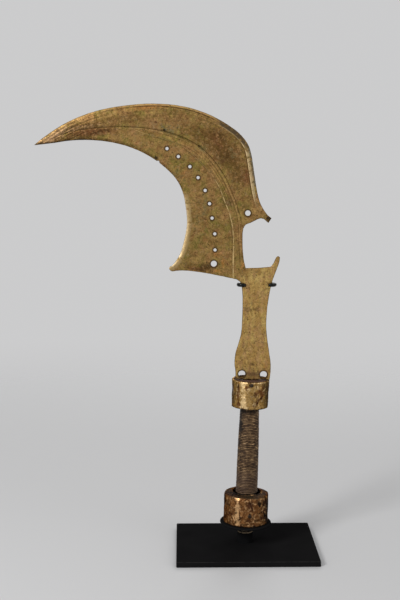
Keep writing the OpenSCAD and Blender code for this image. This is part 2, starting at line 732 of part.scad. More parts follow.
module left_prong_sleeve() {
    prong_sleeve(bend_lo, -1, left_len);
}

module right_prong_sleeve() {
    prong_sleeve(bend_hi, 1, right_len);
}

module back_rod() {
    color(STEEL) difference() {
        union() {
            rod_shaft(0, yoke_z - rod_bend);
            on_knife(yoke_z - rod_bend) translate([0, rod_y - rod_bend, 0]) rotate([90, 0, 90])
                rotate_extrude(angle = 90) translate([rod_bend, 0, 0]) circle(d = rod_d);
            on_knife(yoke_z) translate([0, rod_y - rod_bend, 0]) rotate([90, 0, 0])
                cylinder(d = rod_d, h = rod_y - rod_bend - yoke_y);
        }
        on_yoke() translate([0, yoke_y, 0]) straight(bend_lo, bend_hi, yoke_d / 2 + pin_fit);
    }
}

blade();
collar_core();
collar_sleeve();
collar_tacks();
grip_core();
grip_winding();
pommel_core();
pommel_cap();
pommel_sleeve();
pommel_base();
pommel_tacks();
base_plate();
stem();
stem_screw();
support_disc();
back_rod();
prong_yoke();
left_prong_sleeve();
right_prong_sleeve();
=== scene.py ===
import json
import math
import random

import bmesh
import bpy
import numpy as np
from mathutils import Matrix, Vector, geometry, noise
from mathutils.bvhtree import BVHTree
from mathutils.kdtree import KDTree

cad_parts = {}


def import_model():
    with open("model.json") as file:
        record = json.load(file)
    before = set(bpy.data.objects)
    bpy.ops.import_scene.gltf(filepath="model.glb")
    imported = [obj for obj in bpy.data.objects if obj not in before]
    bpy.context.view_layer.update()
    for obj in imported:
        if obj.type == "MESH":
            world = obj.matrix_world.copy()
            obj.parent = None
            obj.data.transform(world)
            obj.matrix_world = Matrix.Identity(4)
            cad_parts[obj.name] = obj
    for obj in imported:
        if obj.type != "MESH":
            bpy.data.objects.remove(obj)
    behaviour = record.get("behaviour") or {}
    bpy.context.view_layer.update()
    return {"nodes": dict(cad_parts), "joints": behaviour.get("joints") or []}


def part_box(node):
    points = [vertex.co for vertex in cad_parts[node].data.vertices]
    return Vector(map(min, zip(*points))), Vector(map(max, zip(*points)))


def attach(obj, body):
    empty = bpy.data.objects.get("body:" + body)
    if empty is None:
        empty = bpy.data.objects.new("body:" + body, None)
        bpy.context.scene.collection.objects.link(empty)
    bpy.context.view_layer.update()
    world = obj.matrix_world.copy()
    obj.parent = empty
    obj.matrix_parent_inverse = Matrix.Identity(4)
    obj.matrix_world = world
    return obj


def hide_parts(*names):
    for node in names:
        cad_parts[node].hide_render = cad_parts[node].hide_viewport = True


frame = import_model()
nodes = frame["nodes"]

MM = 0.001
# Corners of the CAD's meshes that are closer together than this are one
WELD = 0.002 * MM
random.seed(7)

# The knife's own frame: Z along the handle, which leans the way the knife lifts, from the disc's top face
SEAT_H = 25.5 * MM
LIFT = Vector(frame["joints"][0]["axis"]).normalized()
LEAN = math.atan2(LIFT.x, LIFT.z)
KNIFE = Matrix.Translation((0, 0, SEAT_H)) @ Matrix.Rotation(LEAN, 4, "Y")

# Handle, in millimetres in the knife's frame
POMMEL_R = 20.7
POMMEL_H = 27.2
POMMEL_DOME = 1.8
MOUTH_R = 13.6
MOUTH_LIP = 2.2
COLLAR_Z = 110.0
COLLAR_H = 25.5
COLLAR_R_LOW = 16.8
COLLAR_R_TOP = 17.1
COLLAR_LIP = 2.4
SHEET_T = 0.6
GRIP_R_LOW = 10.2
GRIP_R_TOP = 8.7
# Power of the share of its height with which the grip narrows
GRIP_CURVE = 2.5
WINDING_Z = 26.2
TACK_R = 1.7
TACK_H = 0.68
BLADE_Z = COLLAR_Z + COLLAR_H
BLADE_HALF = 1.4
# Angles about the handle: the sleeves' lap, the front and the back
LAP = math.radians(22)
FRONT = math.radians(-90)
BACK = math.radians(90)


def placed(name, data):
    """A new object in the scene."""
    obj = bpy.data.objects.new(name, data)
    bpy.context.scene.collection.objects.link(obj)
    return obj


def link(name, verts, faces, angle=None):
    """A new object from vertices in metres, shaded smooth but for edges sharper than an angle in degrees."""
    mesh = bpy.data.meshes.new(name)
    mesh.from_pydata([tuple(v) for v in verts], [], [tuple(f) for f in faces])
    mesh.validate()
    if angle:
        mesh.shade_smooth()
        mesh.set_sharp_from_angle(angle=math.radians(angle))
    return placed(name, mesh)


def piece(obj, body, slot, material, *replaced):
    """Puts a finished piece on its body, with its material and the CAD nodes it stands for."""
    obj.data.materials.clear()
    obj.data.materials.append(material)
    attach(obj, body)
    if replaced:
        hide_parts(*replaced)
    return obj


def in_knife(points):
    """Points in millimetres in the knife's frame as row-frame points in metres."""
    return [KNIFE @ (Vector(p) * MM) for p in points]


def write_layers(obj, layers):
    """Writes a value for each point under each name, for the materials to read."""
    for name, values in layers.items():
        layer = obj.data.attributes.new(name, "FLOAT", "POINT")
        layer.data.foreach_set("value", np.asarray(values, np.float32))


def wave(point, scale=1.0, shift=(0, 0, 0)):
    """Smooth noise at a point, scaled and then shifted, from -1 to 1."""
    return noise.noise(Vector(point) * scale + Vector(shift))


def polar(radius, angle, z=0.0):
    """The point at a radius, an angle in radians and a height."""
    return radius * math.cos(angle), radius * math.sin(angle), z


def turn_from(start, angle):
    """The turn from one angle to another in degrees, from -180 to 180."""
    return (angle - start + 180) % 360 - 180


def spot(u, w=0.0):
    """A soft spot: 1 in its middle, 0.3 at a distance of 1 and next to nothing at 2."""
    return np.exp(-1.2 * (u * u + w * w))


def welded(node):
    """A CAD node as one mesh that has each of its corners only once."""
    bm = bmesh.new()
    bm.from_mesh(nodes[node].data)
    bmesh.ops.remove_doubles(bm, verts=bm.verts, dist=WELD)
    bm.normal_update()
    return bm


def smoothstep(low, high, value):
    """0 up to low, 1 from high on, and a smooth rise between them."""
    t = np.clip((np.asarray(value, float) - low) / (high - low), 0, 1)
    return t * t * (3 - 2 * t)


def fine(points, step, closed=False):
    """The polyline with a point at least every step."""
    out = []
    last = len(points) if closed else len(points) - 1
    for i in range(last):
        a = np.array(points[i], float)
        b = np.array(points[(i + 1) % len(points)], float)
        count = max(1, math.ceil(np.linalg.norm(b - a) / step))
        out += [a + (b - a) * k / count for k in range(count)]
    return out if closed else out + [np.array(points[-1], float)]


# Materials


class Nodes:
    """A node tree, with short calls for the nodes used here."""

    def __init__(self, tree):
        self.tree = tree

    def add(self, kind, inputs=None, **settings):
        node = self.tree.nodes.new(kind)
        for key, value in settings.items():
            setattr(node, key, value)
        for key, value in (inputs or {}).items():
            self.put(node.inputs[key], value)
        return node

    def put(self, socket, value):
        if isinstance(value, bpy.types.NodeSocket):
            self.tree.links.new(value, socket)
        else:
            socket.default_value = value

    def math(self, operation, a, b=0.5):
        return self.add("ShaderNodeMath", {0: a, 1: b}, operation=operation).outputs[0]

    def plus(self, a, b):
        return self.math("ADD", a, b)

    def minus(self, a, b):
        return self.math("SUBTRACT", a, b)

    def times(self, a, b):
        return self.math("MULTIPLY", a, b)


class Shader(Nodes):
    """A material's node tree."""

    def __init__(self, name):
        self.material = bpy.data.materials.new(name)
        self.material.use_nodes = True
        super().__init__(self.material.node_tree)
        self.out = self.tree.nodes["Principled BSDF"]
        self.place = self.add("ShaderNodeTexCoord").outputs["Object"]

    def stretched(self, scale):
        return self.add("ShaderNodeMapping", {"Vector": self.place, "Scale": scale}).outputs[0]

    def noise(self, size_mm, detail=3, rough=0.55, vector=None, warp=0.0):
        """Noise whose features are about this many millimetres wide, from 0 to 1."""
        node = self.add("ShaderNodeTexNoise", {
            "Vector": vector or self.place, "Scale": 1 / (size_mm * MM), "Detail": detail,
            "Roughness": rough, "Distortion": warp})
        return node.outputs["Fac"]

    def cells(self, size_mm, feature, vector=None):
        node = self.add("ShaderNodeTexVoronoi", {
            "Vector": vector or self.place, "Scale": 1 / (size_mm * MM)}, feature=feature)
        return node.outputs["Distance"]

    def attribute(self, name):
        return self.add("ShaderNodeAttribute", attribute_name=name).outputs["Fac"]

    def step(self, value, low, high, to_low=0.0, to_high=1.0):
        """A smooth step of a value between two limits, onto another range."""
        return self.add("ShaderNodeMapRange", {
            "Value": value, "From Min": low, "From Max": high, "To Min": to_low, "To Max": to_high},
            interpolation_type="SMOOTHSTEP").outputs[0]

    def ramp(self, value, *stops):
        """A colour ramp from (position, (red, green, blue)) stops."""
        node = self.add("ShaderNodeValToRGB", {"Fac": value})
        elements = node.color_ramp.elements
        while len(elements) < len(stops):
            elements.new(0.5)
        for element, (position, colour) in zip(elements, stops):
            element.position = position
            element.color = (*colour, 1)
        return node.outputs["Color"]

    def mix(self, factor, a, b, **settings):
        node = self.add("ShaderNodeMix", {0: factor}, data_type="RGBA", **settings)
        self.put(node.inputs[6], opaque(a))
        self.put(node.inputs[7], opaque(b))
        return node.outputs[2]

    def shade(self, colour, amount):
        """The colour made darker or lighter by a factor."""
        return self.mix(1.0, colour, amount, blend_type="MULTIPLY")

    def near(self, value, at, full, none):
        """1 where a value is no further than full from another, and 0 from none on."""
        return self.step(self.math("ABSOLUTE", self.minus(value, at)), none, full)

    def along(self, name, fine_mm, length_mm):
        """Noise drawn out into streaks that follow the lines on which an attribute is constant."""
        place = self.add("ShaderNodeSeparateXYZ", {0: self.place}).outputs
        parts = ((self.attribute(name), fine_mm), (place[0], length_mm * MM), (place[2], length_mm * MM))
        vector = self.add("ShaderNodeCombineXYZ", {
            k: self.math("DIVIDE", value, size) for k, (value, size) in enumerate(parts)}).outputs[0]
        return self.add("ShaderNodeTexNoise", {"Vector": vector, "Scale": 1.0, "Detail": 2.0}).outputs["Fac"]

    def bump(self, *layers):
        """A normal bent by relief in layers, each a height from 0 to 1 and its depth in millimetres."""
        normal = {}
        for height, depth_mm in layers:
            inputs = {"Height": height, "Distance": depth_mm * MM, "Strength": 1.0, **normal}
            normal = {"Normal": self.add("ShaderNodeBump", inputs).outputs[0]}
        return normal["Normal"]

    def ragged(self, size_mm):
        """What breaks up the edge of a stain."""
        return self.step(self.noise(size_mm, 4, 0.65), 0.25, 0.75, -0.4, 0.4)

    def stained(self, base, channel, colour, ragged, soft, strength):
        """Lays a colour over base where a painted channel is high, with a ragged edge."""
        there = self.step(self.plus(self.attribute(channel), ragged), 0.5 - soft, 0.5 + soft, 0.0, strength)
        return self.mix(there, base, colour)

    def finish(self, **values):
        """Hands out the material; edge is the tint of its reflections at a glancing angle."""
        names = {"colour": "Base Color", "metal": "Metallic", "rough": "Roughness", "normal": "Normal",
                 "edge": "Specular Tint", "specular": "Specular IOR Level"}
        for key, value in values.items():
            self.put(self.out.inputs[names[key]], opaque(value) if key in ("colour", "edge") else value)
        return self.material


def opaque(colour):
    """The value that a colour socket takes, which is another socket or red, green, blue and alpha."""
    return colour if isinstance(colour, bpy.types.NodeSocket) else (*colour, 1)


def rgb(red, green, blue):
    """A colour seen on a screen, 0 to 255, as the linear values that a shader takes."""
    shares = (red / 255, green / 255, blue / 255)
    return tuple(((c + 0.055) / 1.055) ** 2.4 if c > 0.04 else c / 12.92 for c in shares)


def blade_brass():
    """Old brass: soft patches of colour, flecks of tarnish over them, thin lines on its ridges that are worn
    and painted highlight, with painted shade beside them, along its border and round its holes.
    """
    s = Shader("blade_brass")
    broad = s.noise(13, 3, 0.55)
    colour = s.ramp(broad, (0.36, rgb(124, 110, 54)), (0.5, rgb(146, 119, 68)), (0.64, rgb(162, 124, 80)))
    for size, rough, warp, low, high, share, tone in (
            (6.5, 0.55, 0.4, 0.42, 0.62, 0.6, rgb(118, 90, 46)),
            (8.5, 0.55, 0.5, 0.5, 0.66, 0.5, rgb(164, 140, 78)),
            (5.2, 0.6, 0.6, 0.5, 0.68, 0.4, rgb(142, 98, 62))):
        colour = s.mix(s.step(s.noise(size, 3, rough, warp=warp), low, high, 0.0, share), colour, tone)
    neck = s.attribute("neck")
    streak = s.step(s.noise(3.4, 3, 0.6, s.stretched((1, 1, 0.35))), 0.36, 0.62)
    pink = s.step(s.noise(4.2, 3, 0.6, s.stretched((1, 1, 0.5))), 0.48, 0.62, 0.0, 0.5)
    bare_neck = s.mix(pink, s.mix(streak, rgb(196, 167, 100), rgb(172, 137, 78)), rgb(180, 138, 98))
    colour = s.mix(neck, colour, bare_neck)
    for channel, stain, size, soft, strength in (
            ("lobe", rgb(102, 76, 40), 3.6, 0.5, 0.9), ("russet", rgb(118, 74, 46), 2.4, 0.45, 0.8),
            ("purple", rgb(96, 68, 50), 2.6, 0.45, 0.75), ("umber", rgb(78, 54, 30), 2.0, 0.45, 0.85),
            ("orange", rgb(172, 116, 58), 2.2, 0.5, 0.75), ("verdigris", rgb(104, 102, 66), 2.4, 0.45, 0.7),
            ("gold", rgb(186, 150, 88), 2.4, 0.5, 0.7), ("blush", rgb(190, 152, 112), 2.2, 0.5, 0.85),
            ("slate", rgb(116, 110, 92), 2.4, 0.45, 0.85), ("soot", rgb(42, 36, 28), 1.6, 0.35, 0.92)):
        colour = s.stained(colour, channel, stain, s.ragged(size), soft, strength)
    mottle = s.noise(2.6, 4, 0.6, warp=0.3)
    grit = s.noise(1.1, 2, 0.6)
    calm = s.times(neck, 0.1)
    level = s.plus(s.times(mottle, 0.6), s.times(grit, 0.4))
    spread = s.step(level, 0.35, 0.65, 0.7, 1.27)
    spread = s.plus(s.times(spread, s.minus(1.0, calm)), calm)
    colour = s.shade(colour, spread)
    fleck = s.step(s.noise(1.7, 3, 0.6, warp=0.3), 0.43, 0.33, 0.0, 0.75)
    fleck = s.times(fleck, s.minus(1.0, calm))
    reddish = s.mix(s.step(s.noise(4.4, 2), 0.42, 0.58), rgb(86, 52, 34), rgb(66, 60, 34))
    colour = s.mix(fleck, colour, reddish)
    ground = s.step(s.along("outer", 0.9, 40), 0.35, 0.65, -0.3, 0.3)
    flutes = s.step(s.along("crest_out", 0.75, 60), 0.42, 0.6, -0.2, 0.3)
    for lines, mask in ((ground, "drawn"), (flutes, "fluted")):
        colour = s.shade(colour, s.plus(s.times(lines, s.attribute(mask)), 1.0))
    breaks = s.step(s.noise(3.4, 3, 0.6), 0.3, 0.52)
    # The dark lines beside the crests and along the border are painted shade; the pale lines on the crests
    # are wear and painted highlight
    for name, at, half, soft, tone, mask in (
            ("groove", 0.0, 0.3, 0.3, rgb(82, 62, 34), "groove_on"),
            ("crest_out", -1.1, 0.35, 0.35, rgb(92, 70, 38), "shade_on"),
            ("crest_out", 0.0, 0.22, 0.25, rgb(194, 164, 110), "crest_out_on"),
            ("crest_in", -1.0, 0.3, 0.35, rgb(96, 74, 40), "crest_in_on"),
            ("crest_in", 0.0, 0.34, 0.3, rgb(214, 188, 134), "crest_in_on"),
            ("outer", 2.2, 2.1, 0.6, rgb(88, 73, 54), "shoulder_on"),
            ("outer", 3.0, 0.9, 0.6, rgb(190, 170, 132), "cheek_on"),
            ("outer", 4.2, 0.35, 0.3, rgb(226, 200, 152), "bevel_on"),
            ("outer", 5.2, 0.35, 0.35, rgb(88, 62, 36), "bevel_on"),
            ("outer", 0.9, 0.45, 0.4, rgb(190, 154, 100), "edge_on"),
            ("outer", 2.2, 0.4, 0.35, rgb(84, 58, 34), "edge_on"),
            ("inner", 2.2, 1.9, 1.0, rgb(162, 138, 96), "inner_on"),
            ("inner", 0.6, 0.5, 0.4, rgb(180, 160, 124), "inner_on"),
            ("inner", 2.8, 0.35, 0.4, rgb(166, 140, 94), "inner_on"),
            ("border", 0.1, 0.35, 0.3, rgb(84, 66, 40), "border_shade")):
        thin = s.times(s.near(s.attribute(name), at, half - soft, half + soft), s.attribute(mask))
        colour = s.mix(s.times(thin, breaks), colour, tone)
    # Dark round each hole: painted shade of the hole's wall
    colour = s.mix(s.step(s.attribute("rim"), 1.9, 0.5, 0.0, 0.85), colour, rgb(72, 54, 36))
    rough = s.step(s.step(level, 0.4, 0.62), 0.0, 1.0, 0.6, 0.46)
    normal = s.bump((s.noise(3.4, 3, 0.55), 0.14), (mottle, 0.05), (grit, 0.02))
    return s.finish(colour=colour, rough=rough, metal=0.9, normal=normal, edge=rgb(190, 170, 130))


def hammered(name, *tones):
    """Hammered sheet: polished on the high spots, stained in runs and blotches, with dirt in its hollows,
    and with painted shade and painted highlight in its dark, dull and pale channels.

    The tones: its low, middle and high spots, its stained places, its dark places and painted shade, its
    pale places and painted highlight, its dull places and painted shade, and its edge."""
    low, mid, high, stain, dark_and_shade, pale_and_highlight, dull_and_shade, edge = (rgb(*tone) for tone in tones)
    s = Shader(name)
    mottle = s.noise(4.2, 3, 0.55, warp=0.6)
    fleck = s.noise(1.1, 3, 0.6)
    tone = s.plus(s.times(mottle, 0.75), s.times(fleck, 0.25))
    colour = s.ramp(tone, (0.36, low), (0.48, mid), (0.62, high))
    runs = s.step(s.noise(3.6, 4, 0.55, s.stretched((1, 1, 0.5)), warp=0.6), 0.32, 0.68, -0.5, 0.5)
    blots = s.step(s.noise(2.6, 4, 0.6, warp=0.5), 0.32, 0.68, -0.5, 0.5)
    # The dark and dull channels hold painted shade besides tarnish, and the pale channel painted highlight
    # besides bare metal
    for channel, tint, ragged, soft, strength in (
            ("dull_and_shade", dull_and_shade, blots, 0.5, 0.9), ("stain", stain, runs, 0.3, 0.85),
            ("pale_and_highlight", pale_and_highlight, blots, 0.35, 0.9), ("dark_and_shade", dark_and_shade, runs, 0.35, 0.92)):
        colour = s.stained(colour, channel, tint, ragged, soft, strength)
    veins = s.step(s.cells(4.6, "DISTANCE_TO_EDGE", s.stretched((1, 1, 0.8))), 0.1, 0.02)
    veins = s.times(veins, s.step(s.noise(3.6, 3, 0.6), 0.46, 0.64))
    colour = s.mix(s.times(veins, 0.35), colour, dark_and_shade)
    colour = s.shade(colour, s.step(fleck, 0.34, 0.66, 0.88, 1.1))
    tarnish = s.plus(s.times(s.attribute("dark_and_shade"), 0.3), s.times(s.attribute("dull_and_shade"), 0.2))
    polish = s.minus(s.plus(tone, s.times(s.attribute("pale_and_highlight"), 0.15)), tarnish)
    rough = s.step(polish, 0.3, 0.68, 0.58, 0.3)
    metal = s.step(polish, 0.25, 0.45, 0.8, 1.0)
    normal = s.bump((s.cells(4.4, "SMOOTH_F1"), 0.42), (s.noise(1.7, 3, 0.55), 0.16), (fleck, 0.04))
    return s.finish(colour=colour, rough=rough, metal=metal, normal=normal, edge=edge)


def collar_brass():
    return hammered("collar_brass", (122, 90, 46), (160, 125, 70), (194, 158, 100), (104, 62, 38),
                    (44, 33, 22), (246, 212, 156), (66, 55, 34), (150, 120, 80))


def pommel_copper():
    return hammered("pommel_copper", (86, 54, 30), (120, 80, 46), (158, 112, 68), (72, 43, 31),
                    (30, 23, 18), (234, 186, 132), (70, 60, 46), (110, 90, 66))


def grip_wire():
    s = Shader("grip_wire")
    facing_out = s.attribute("outward")
    strand = s.plus(s.times(s.noise(1.8, 3, 0.6, s.stretched((0.4, 0.4, 1.5))), 0.6),
                    s.times(s.noise(3.4, 3, 0.55, s.stretched((0.4, 0.4, 1))), 0.4))
    tone = s.plus(s.times(strand, 0.5), s.times(s.noise(4.5, 4, 0.65), 0.3))
    # Lighter where the wire faces out: wear and painted light on the tops of the turns
    tone = s.plus(tone, s.times(facing_out, 0.2))
    colour = s.ramp(tone, (0.4, rgb(26, 18, 11)), (0.5, rgb(66, 47, 30)), (0.58, rgb(100, 75, 48)),
                    (0.68, rgb(178, 146, 106)))
    # Near black where the wire faces in: painted shade in the crevices between turns
    colour = s.mix(s.step(facing_out, 0.1, 0.75, 0.85, 0.0), colour, rgb(22, 16, 12))
    # Dark patches: painted shade down the left side and under the collar
    colour = s.stained(colour, "dark_and_shade", rgb(16, 12, 9), s.ragged(3.0), 0.4, 0.9)
    colour = s.stained(colour, "purple", rgb(84, 64, 50), s.ragged(2.5), 0.5, 0.7)
    rough = s.step(tone, 0.35, 0.75, 0.75, 0.5)
    return s.finish(colour=colour, rough=rough, metal=0.5, normal=s.bump((s.noise(0.7, 3, 0.6), 0.08)))


def handle_wood(name, worn):
    """Dark dry wood, and the colour of what shows where it is worn."""
    s = Shader(name)
    grain = s.noise(1.1, 5, 0.65, s.stretched((1, 1, 0.08)))
    pore = s.noise(0.35, 2, 0.5, s.stretched((1, 1, 0.15)))
    colour = s.ramp(grain, (0.34, rgb(14, 10, 8)), (0.6, worn))
    return s.finish(colour=colour, rough=0.82, metal=0.0, normal=s.bump((grain, 0.12), (pore, 0.05)))


def tack_iron():
    s = Shader("tack_iron")
    rust = s.noise(0.9, 4, 0.65)
    colour = s.ramp(rust, (0.36, rgb(30, 24, 19)), (0.52, rgb(62, 50, 40)), (0.68, rgb(112, 94, 76)))
    return s.finish(colour=colour, rough=s.step(rust, 0.35, 0.65, 0.68, 0.4), metal=0.85,
                    normal=s.bump((s.noise(0.5, 3, 0.6), 0.08)))


def stand_paint():
    s = Shader("stand_paint")
    cloud = s.noise(22, 3, 0.5)
    skin = s.noise(0.45, 2, 0.5)
    colour = s.ramp(cloud, (0.3, rgb(22.5, 22, 22.5)), (0.7, rgb(25.5, 25, 25.5)))
    colour = s.shade(colour, s.step(skin, 0.3, 0.7, 0.95, 1.05))
    # A lighter band along the plate's eased top edge: painted highlight
    edge_highlight = s.times(s.attribute("edge"), s.step(s.noise(4, 3, 0.6), 0.35, 0.6))
    colour = s.mix(edge_highlight, colour, rgb(46, 45, 44))
    return s.finish(colour=colour, rough=0.8, metal=0.0, specular=0.0, normal=s.bump((skin, 0.003)))


# Height on the stem in millimetres, and colour, of each thin ring of painted highlight under the disc
STEM_HIGHLIGHT_RINGS = ((18.3, rgb(196, 172, 142)), (15.9, rgb(128, 112, 92)))


def stem_paint():
    """The stand's paint, with two thin rings of painted highlight under the disc."""
    s = Shader("stem_paint")
    height = s.add("ShaderNodeSeparateXYZ", {0: s.place}).outputs[2]
    colour = s.ramp(s.noise(9, 3, 0.5), (0.3, rgb(18, 18, 19)), (0.7, rgb(24, 24, 25)))
    patchy = s.step(s.noise(2.4, 3, 0.6), 0.3, 0.52)
    # Each ring is a painted highlight
    for level, pale_and_highlight in STEM_HIGHLIGHT_RINGS:
        ring = s.near(height, level * MM, 0.4 * MM, 0.8 * MM)
        colour = s.mix(s.times(ring, patchy), colour, pale_and_highlight)
    normal = s.bump((s.noise(0.45, 2), 0.012))
    return s.finish(colour=colour, rough=0.8, metal=0.0, specular=0.0, normal=normal)


def screw_steel():
    s = Shader("screw_steel")
    turned = s.noise(0.4, 3, 0.6, s.stretched((1, 1, 0.2)))
    colour = s.ramp(turned, (0.3, rgb(92, 92, 94)), (0.7, rgb(150, 150, 152)))
    return s.finish(colour=colour, rough=0.38, metal=1.0, normal=s.bump((turned, 0.02)))


def prong_rubber():
    s = Shader("prong_sleeve")
    cloud = s.noise(2.5, 3, 0.5)
    colour = s.ramp(cloud, (0.3, rgb(4, 5, 4)), (0.7, rgb(12, 14, 12)))
    return s.finish(colour=colour, rough=s.step(cloud, 0.3, 0.7, 0.22, 0.34), metal=0.0, specular=0.22,
                    normal=s.bump((s.noise(0.8, 2, 0.5), 0.02)))


# The blade

# Widest spacing along its edges, of the points between them and on its drawn lines, in millimetres
EDGE_STEP = 1.0
FACE_STEP = 1.15
LINE_STEP = 0.5
# Distance between two rows of a grid of equal triangles, as a share of their side
ROW_SHARE = 0.866
# As shares of that side: how far a grid point strays, and its least distance from the points laid before
GRID_PLAY = 0.2
GRID_GAP = 0.55
# The outline keeps the corners that turn by more than this and is smooth elsewhere
CORNER = math.radians(24)
# Creases of the face above this angle are kept as edges, if this many millimetres off the outline and holes
CREASE = math.radians(5)
CREASE_GAP = 0.3
# A closed border round less than this, in square millimetres, is a punched pit, and any other is a hole
PIT_AREA = 4.0
# Rings of points in and round a pit, as shares of its radius, and the points in each
PIT_RINGS = (0.45, 0.9, 1.15)
PIT_POINTS = 10
HOLE_POINTS = 36
# How much of the tang is kept under the collar's top, in millimetres
TANG_SHOWN = 4.0
# A face is on the blade's front or back if its normal's share along Y is more than this
FACING = 0.25
# Share of the way to its neighbours' mean height that each point of a face is drawn
SOFTENING = 0.2
# How far off the blade the rays start that measure its faces, in metres
RAY_FROM = 0.05
# How far the middle of the blade's rim bulges: share of its thickness, and most in millimetres
RIM_BULGE = 0.06
RIM_BULGE_MOST = 0.12
# Ends of the ground edges in the row frame, in millimetres
BARB = (21.9, 309.4)
KNOB = (-68.2, 266.1)

# The rib's sides and the engraved line, as in the solid, in millimetres from the collar's top
RIB_INNER = [(-112, 224.2), (-99, 219.8), (-85, 216.5), (-70, 211), (-57.5, 201), (-46, 190), (-36.5, 177.5),
             (-30.5, 164), (-25, 151), (-22, 138.5), (-20.8, 127), (-20.5, 112), (-20, 92)]
RIB_OUTER = [(-112, 226.1), (-96, 225), (-80, 221.6), (-65, 216.6), (-52, 209.5), (-39.5, 197), (-30, 183.5),
             (-23.3, 170), (-18.4, 158), (-15.2, 146), (-14.2, 133.5), (-13.2, 121), (-11.4, 104)]
LINE = [(-193, 212.6), (-183, 215.8), (-168.5, 221.2), (-147, 225), (-120, 226.8), (-98, 225.8),
        (-81, 222.9), (-65.4, 217.7), (-52, 210.4), (-39, 197.9), (-29.2, 184), (-22.5, 170.3),
        (-17.6, 158.2), (-14.4, 148), (-13.3, 144)]
# The rib's inner and outer crest, as shares of the way from its inner to its outer side
CREST_SHARES = (0.07, 0.92)
# Below this height over the collar's top the inner crest runs on to the heel's edge, this high and half wide
CREST_FOOT = 112.0
CREST_RISE = 0.4
CREST_HALF = 0.7


def on_blade(points):
    """Points measured from the collar's top as (x, z) in the row frame."""
    return np.array([flat_xz(KNIFE @ (Vector((x, 0, z + BLADE_Z)) * MM)) for x, z in points])


def curved(points):
    """A smooth line through points."""
    out = []
    count = len(points)
    for i in range(count - 1):
        a, b, c, d = points[max(i - 1, 0)], points[i], points[i + 1], points[min(i + 2, count - 1)]
        pieces = max(2, math.ceil(np.linalg.norm(c - b) / LINE_STEP))
        for k in range(pieces):
            t = k / pieces
            out.append(0.5 * (2 * b + (c - a) * t + (2 * a - 5 * b + 4 * c - d) * t**2
                              + (3 * b - a - 3 * c + d) * t**3))
    return np.array(out + [points[-1]])


def beside(points, line):
    """How far points are off a line in millimetres, positive on its left, and what share along it."""
    tree = tree_of(line)
    away, share = np.zeros(len(points)), np.zeros(len(points))
    last = len(line) - 1
    for n, p in enumerate(points):
        i = tree.find((p[0], p[1], 0))[1]
        way = line[min(i + 1, last)] - line[max(i - 1, 0)]
        way /= np.linalg.norm(way)
        off = p - line[i]
        aside = way[0] * off[1] - way[1] * off[0]
        past = max(0.0, -off @ way) if i == 0 else max(0.0, off @ way) if i == last else 0.0
        away[n] = math.copysign(math.hypot(aside, past), aside) if past else aside
        share[n] = i / last
    return away, share


def blade_cad():
    """The CAD blade as one welded mesh, without the part of the tang that nobody sees."""
    bm = welded("blade")
    cut = KNIFE @ Vector((0, 0, (BLADE_Z - TANG_SHOWN) * MM))
    everything = bm.verts[:] + bm.edges[:] + bm.faces[:]
    bmesh.ops.bisect_plane(bm, geom=everything, plane_co=cut, plane_no=LIFT, clear_inner=True)
    bm.normal_update()
    return bm


def flat_xz(vector):
    return np.array([vector.x, vector.z]) / MM


def border_loops(faces):
    """The closed borders of a set of faces, as arrays of (x, z) in millimetres."""
    chosen = set(faces)
    ways = {}
    for face in faces:
        for edge in face.edges:
            if sum(f in chosen for f in edge.link_faces) == 1:
                for a, b in (edge.verts, reversed(edge.verts)):
                    ways.setdefault(a, []).append(b)
    loops, seen = [], set()
    for start in ways:
        if start in seen:
            continue
        loop, at, before = [], start, None
        while at not in seen:
            seen.add(at)
            loop.append(flat_xz(at.co))
            onward = [v for v in ways[at] if v is not before and v not in seen]
            if not onward:
                break
            before, at = at, onward[0]
        if len(loop) > 5:
            loops.append(np.array(loop))
    return loops


def crossed(a, b):
    """Twice the signed area between each pair of directions, positive if b is on the left of a."""
    return a[:, 0] * b[:, 1] - a[:, 1] * b[:, 0]


def signed_area(loop):
    return float(crossed(loop, np.roll(loop, -1, 0)).sum() / 2)


def rounded_loop(loop, step):
    """The loop on a smooth curve between its corners, with a point at least every step."""
    n = len(loop)
    ahead = np.roll(loop, -1, 0) - loop
    behind = np.roll(ahead, 1, 0)
    turn = np.abs(np.arctan2(crossed(behind, ahead), (behind * ahead).sum(1)))
    out = []
    for i in range(n):
        j = (i + 1) % n
        p, q = loop[i], loop[j]
        length = np.linalg.norm(q - p)
        if length < 1e-6:
            continue
        straight = (q - p) / length
        through = []
        for k in (i, j):
            way = loop[(k + 1) % n] - loop[k - 1]
            through.append(straight if turn[k] > CORNER else way / np.linalg.norm(way))
        count = max(1, math.ceil(length / step))
        for k in range(count):
            t = k / count
            out.append((2 * t**3 - 3 * t**2 + 1) * p + (t**3 - 2 * t**2 + t) * length * through[0]
                       + (3 * t**2 - 2 * t**3) * q + (t**3 - t**2) * length * through[1])
    return np.array(out)


def inside(points, loop):
    """Which points lie inside a loop."""
    result = np.zeros(len(points), bool)
    x, z = points[:, 0], points[:, 1]
    for (x0, z0), (x1, z1) in zip(loop, np.roll(loop, -1, 0)):
        if z0 == z1:
            continue
        crosses = (z0 > z) != (z1 > z)
        result ^= crosses & (x < (x1 - x0) * (z - z0) / (z1 - z0) + x0)
    return result


def tree_of(points):
    tree = KDTree(len(points))
    for i, p in enumerate(points):
        tree.insert((p[0], p[1], 0), i)
    tree.balance()
    return tree


def distances(points, tree):
    return np.array([tree.find((p[0], p[1], 0))[2] for p in points])


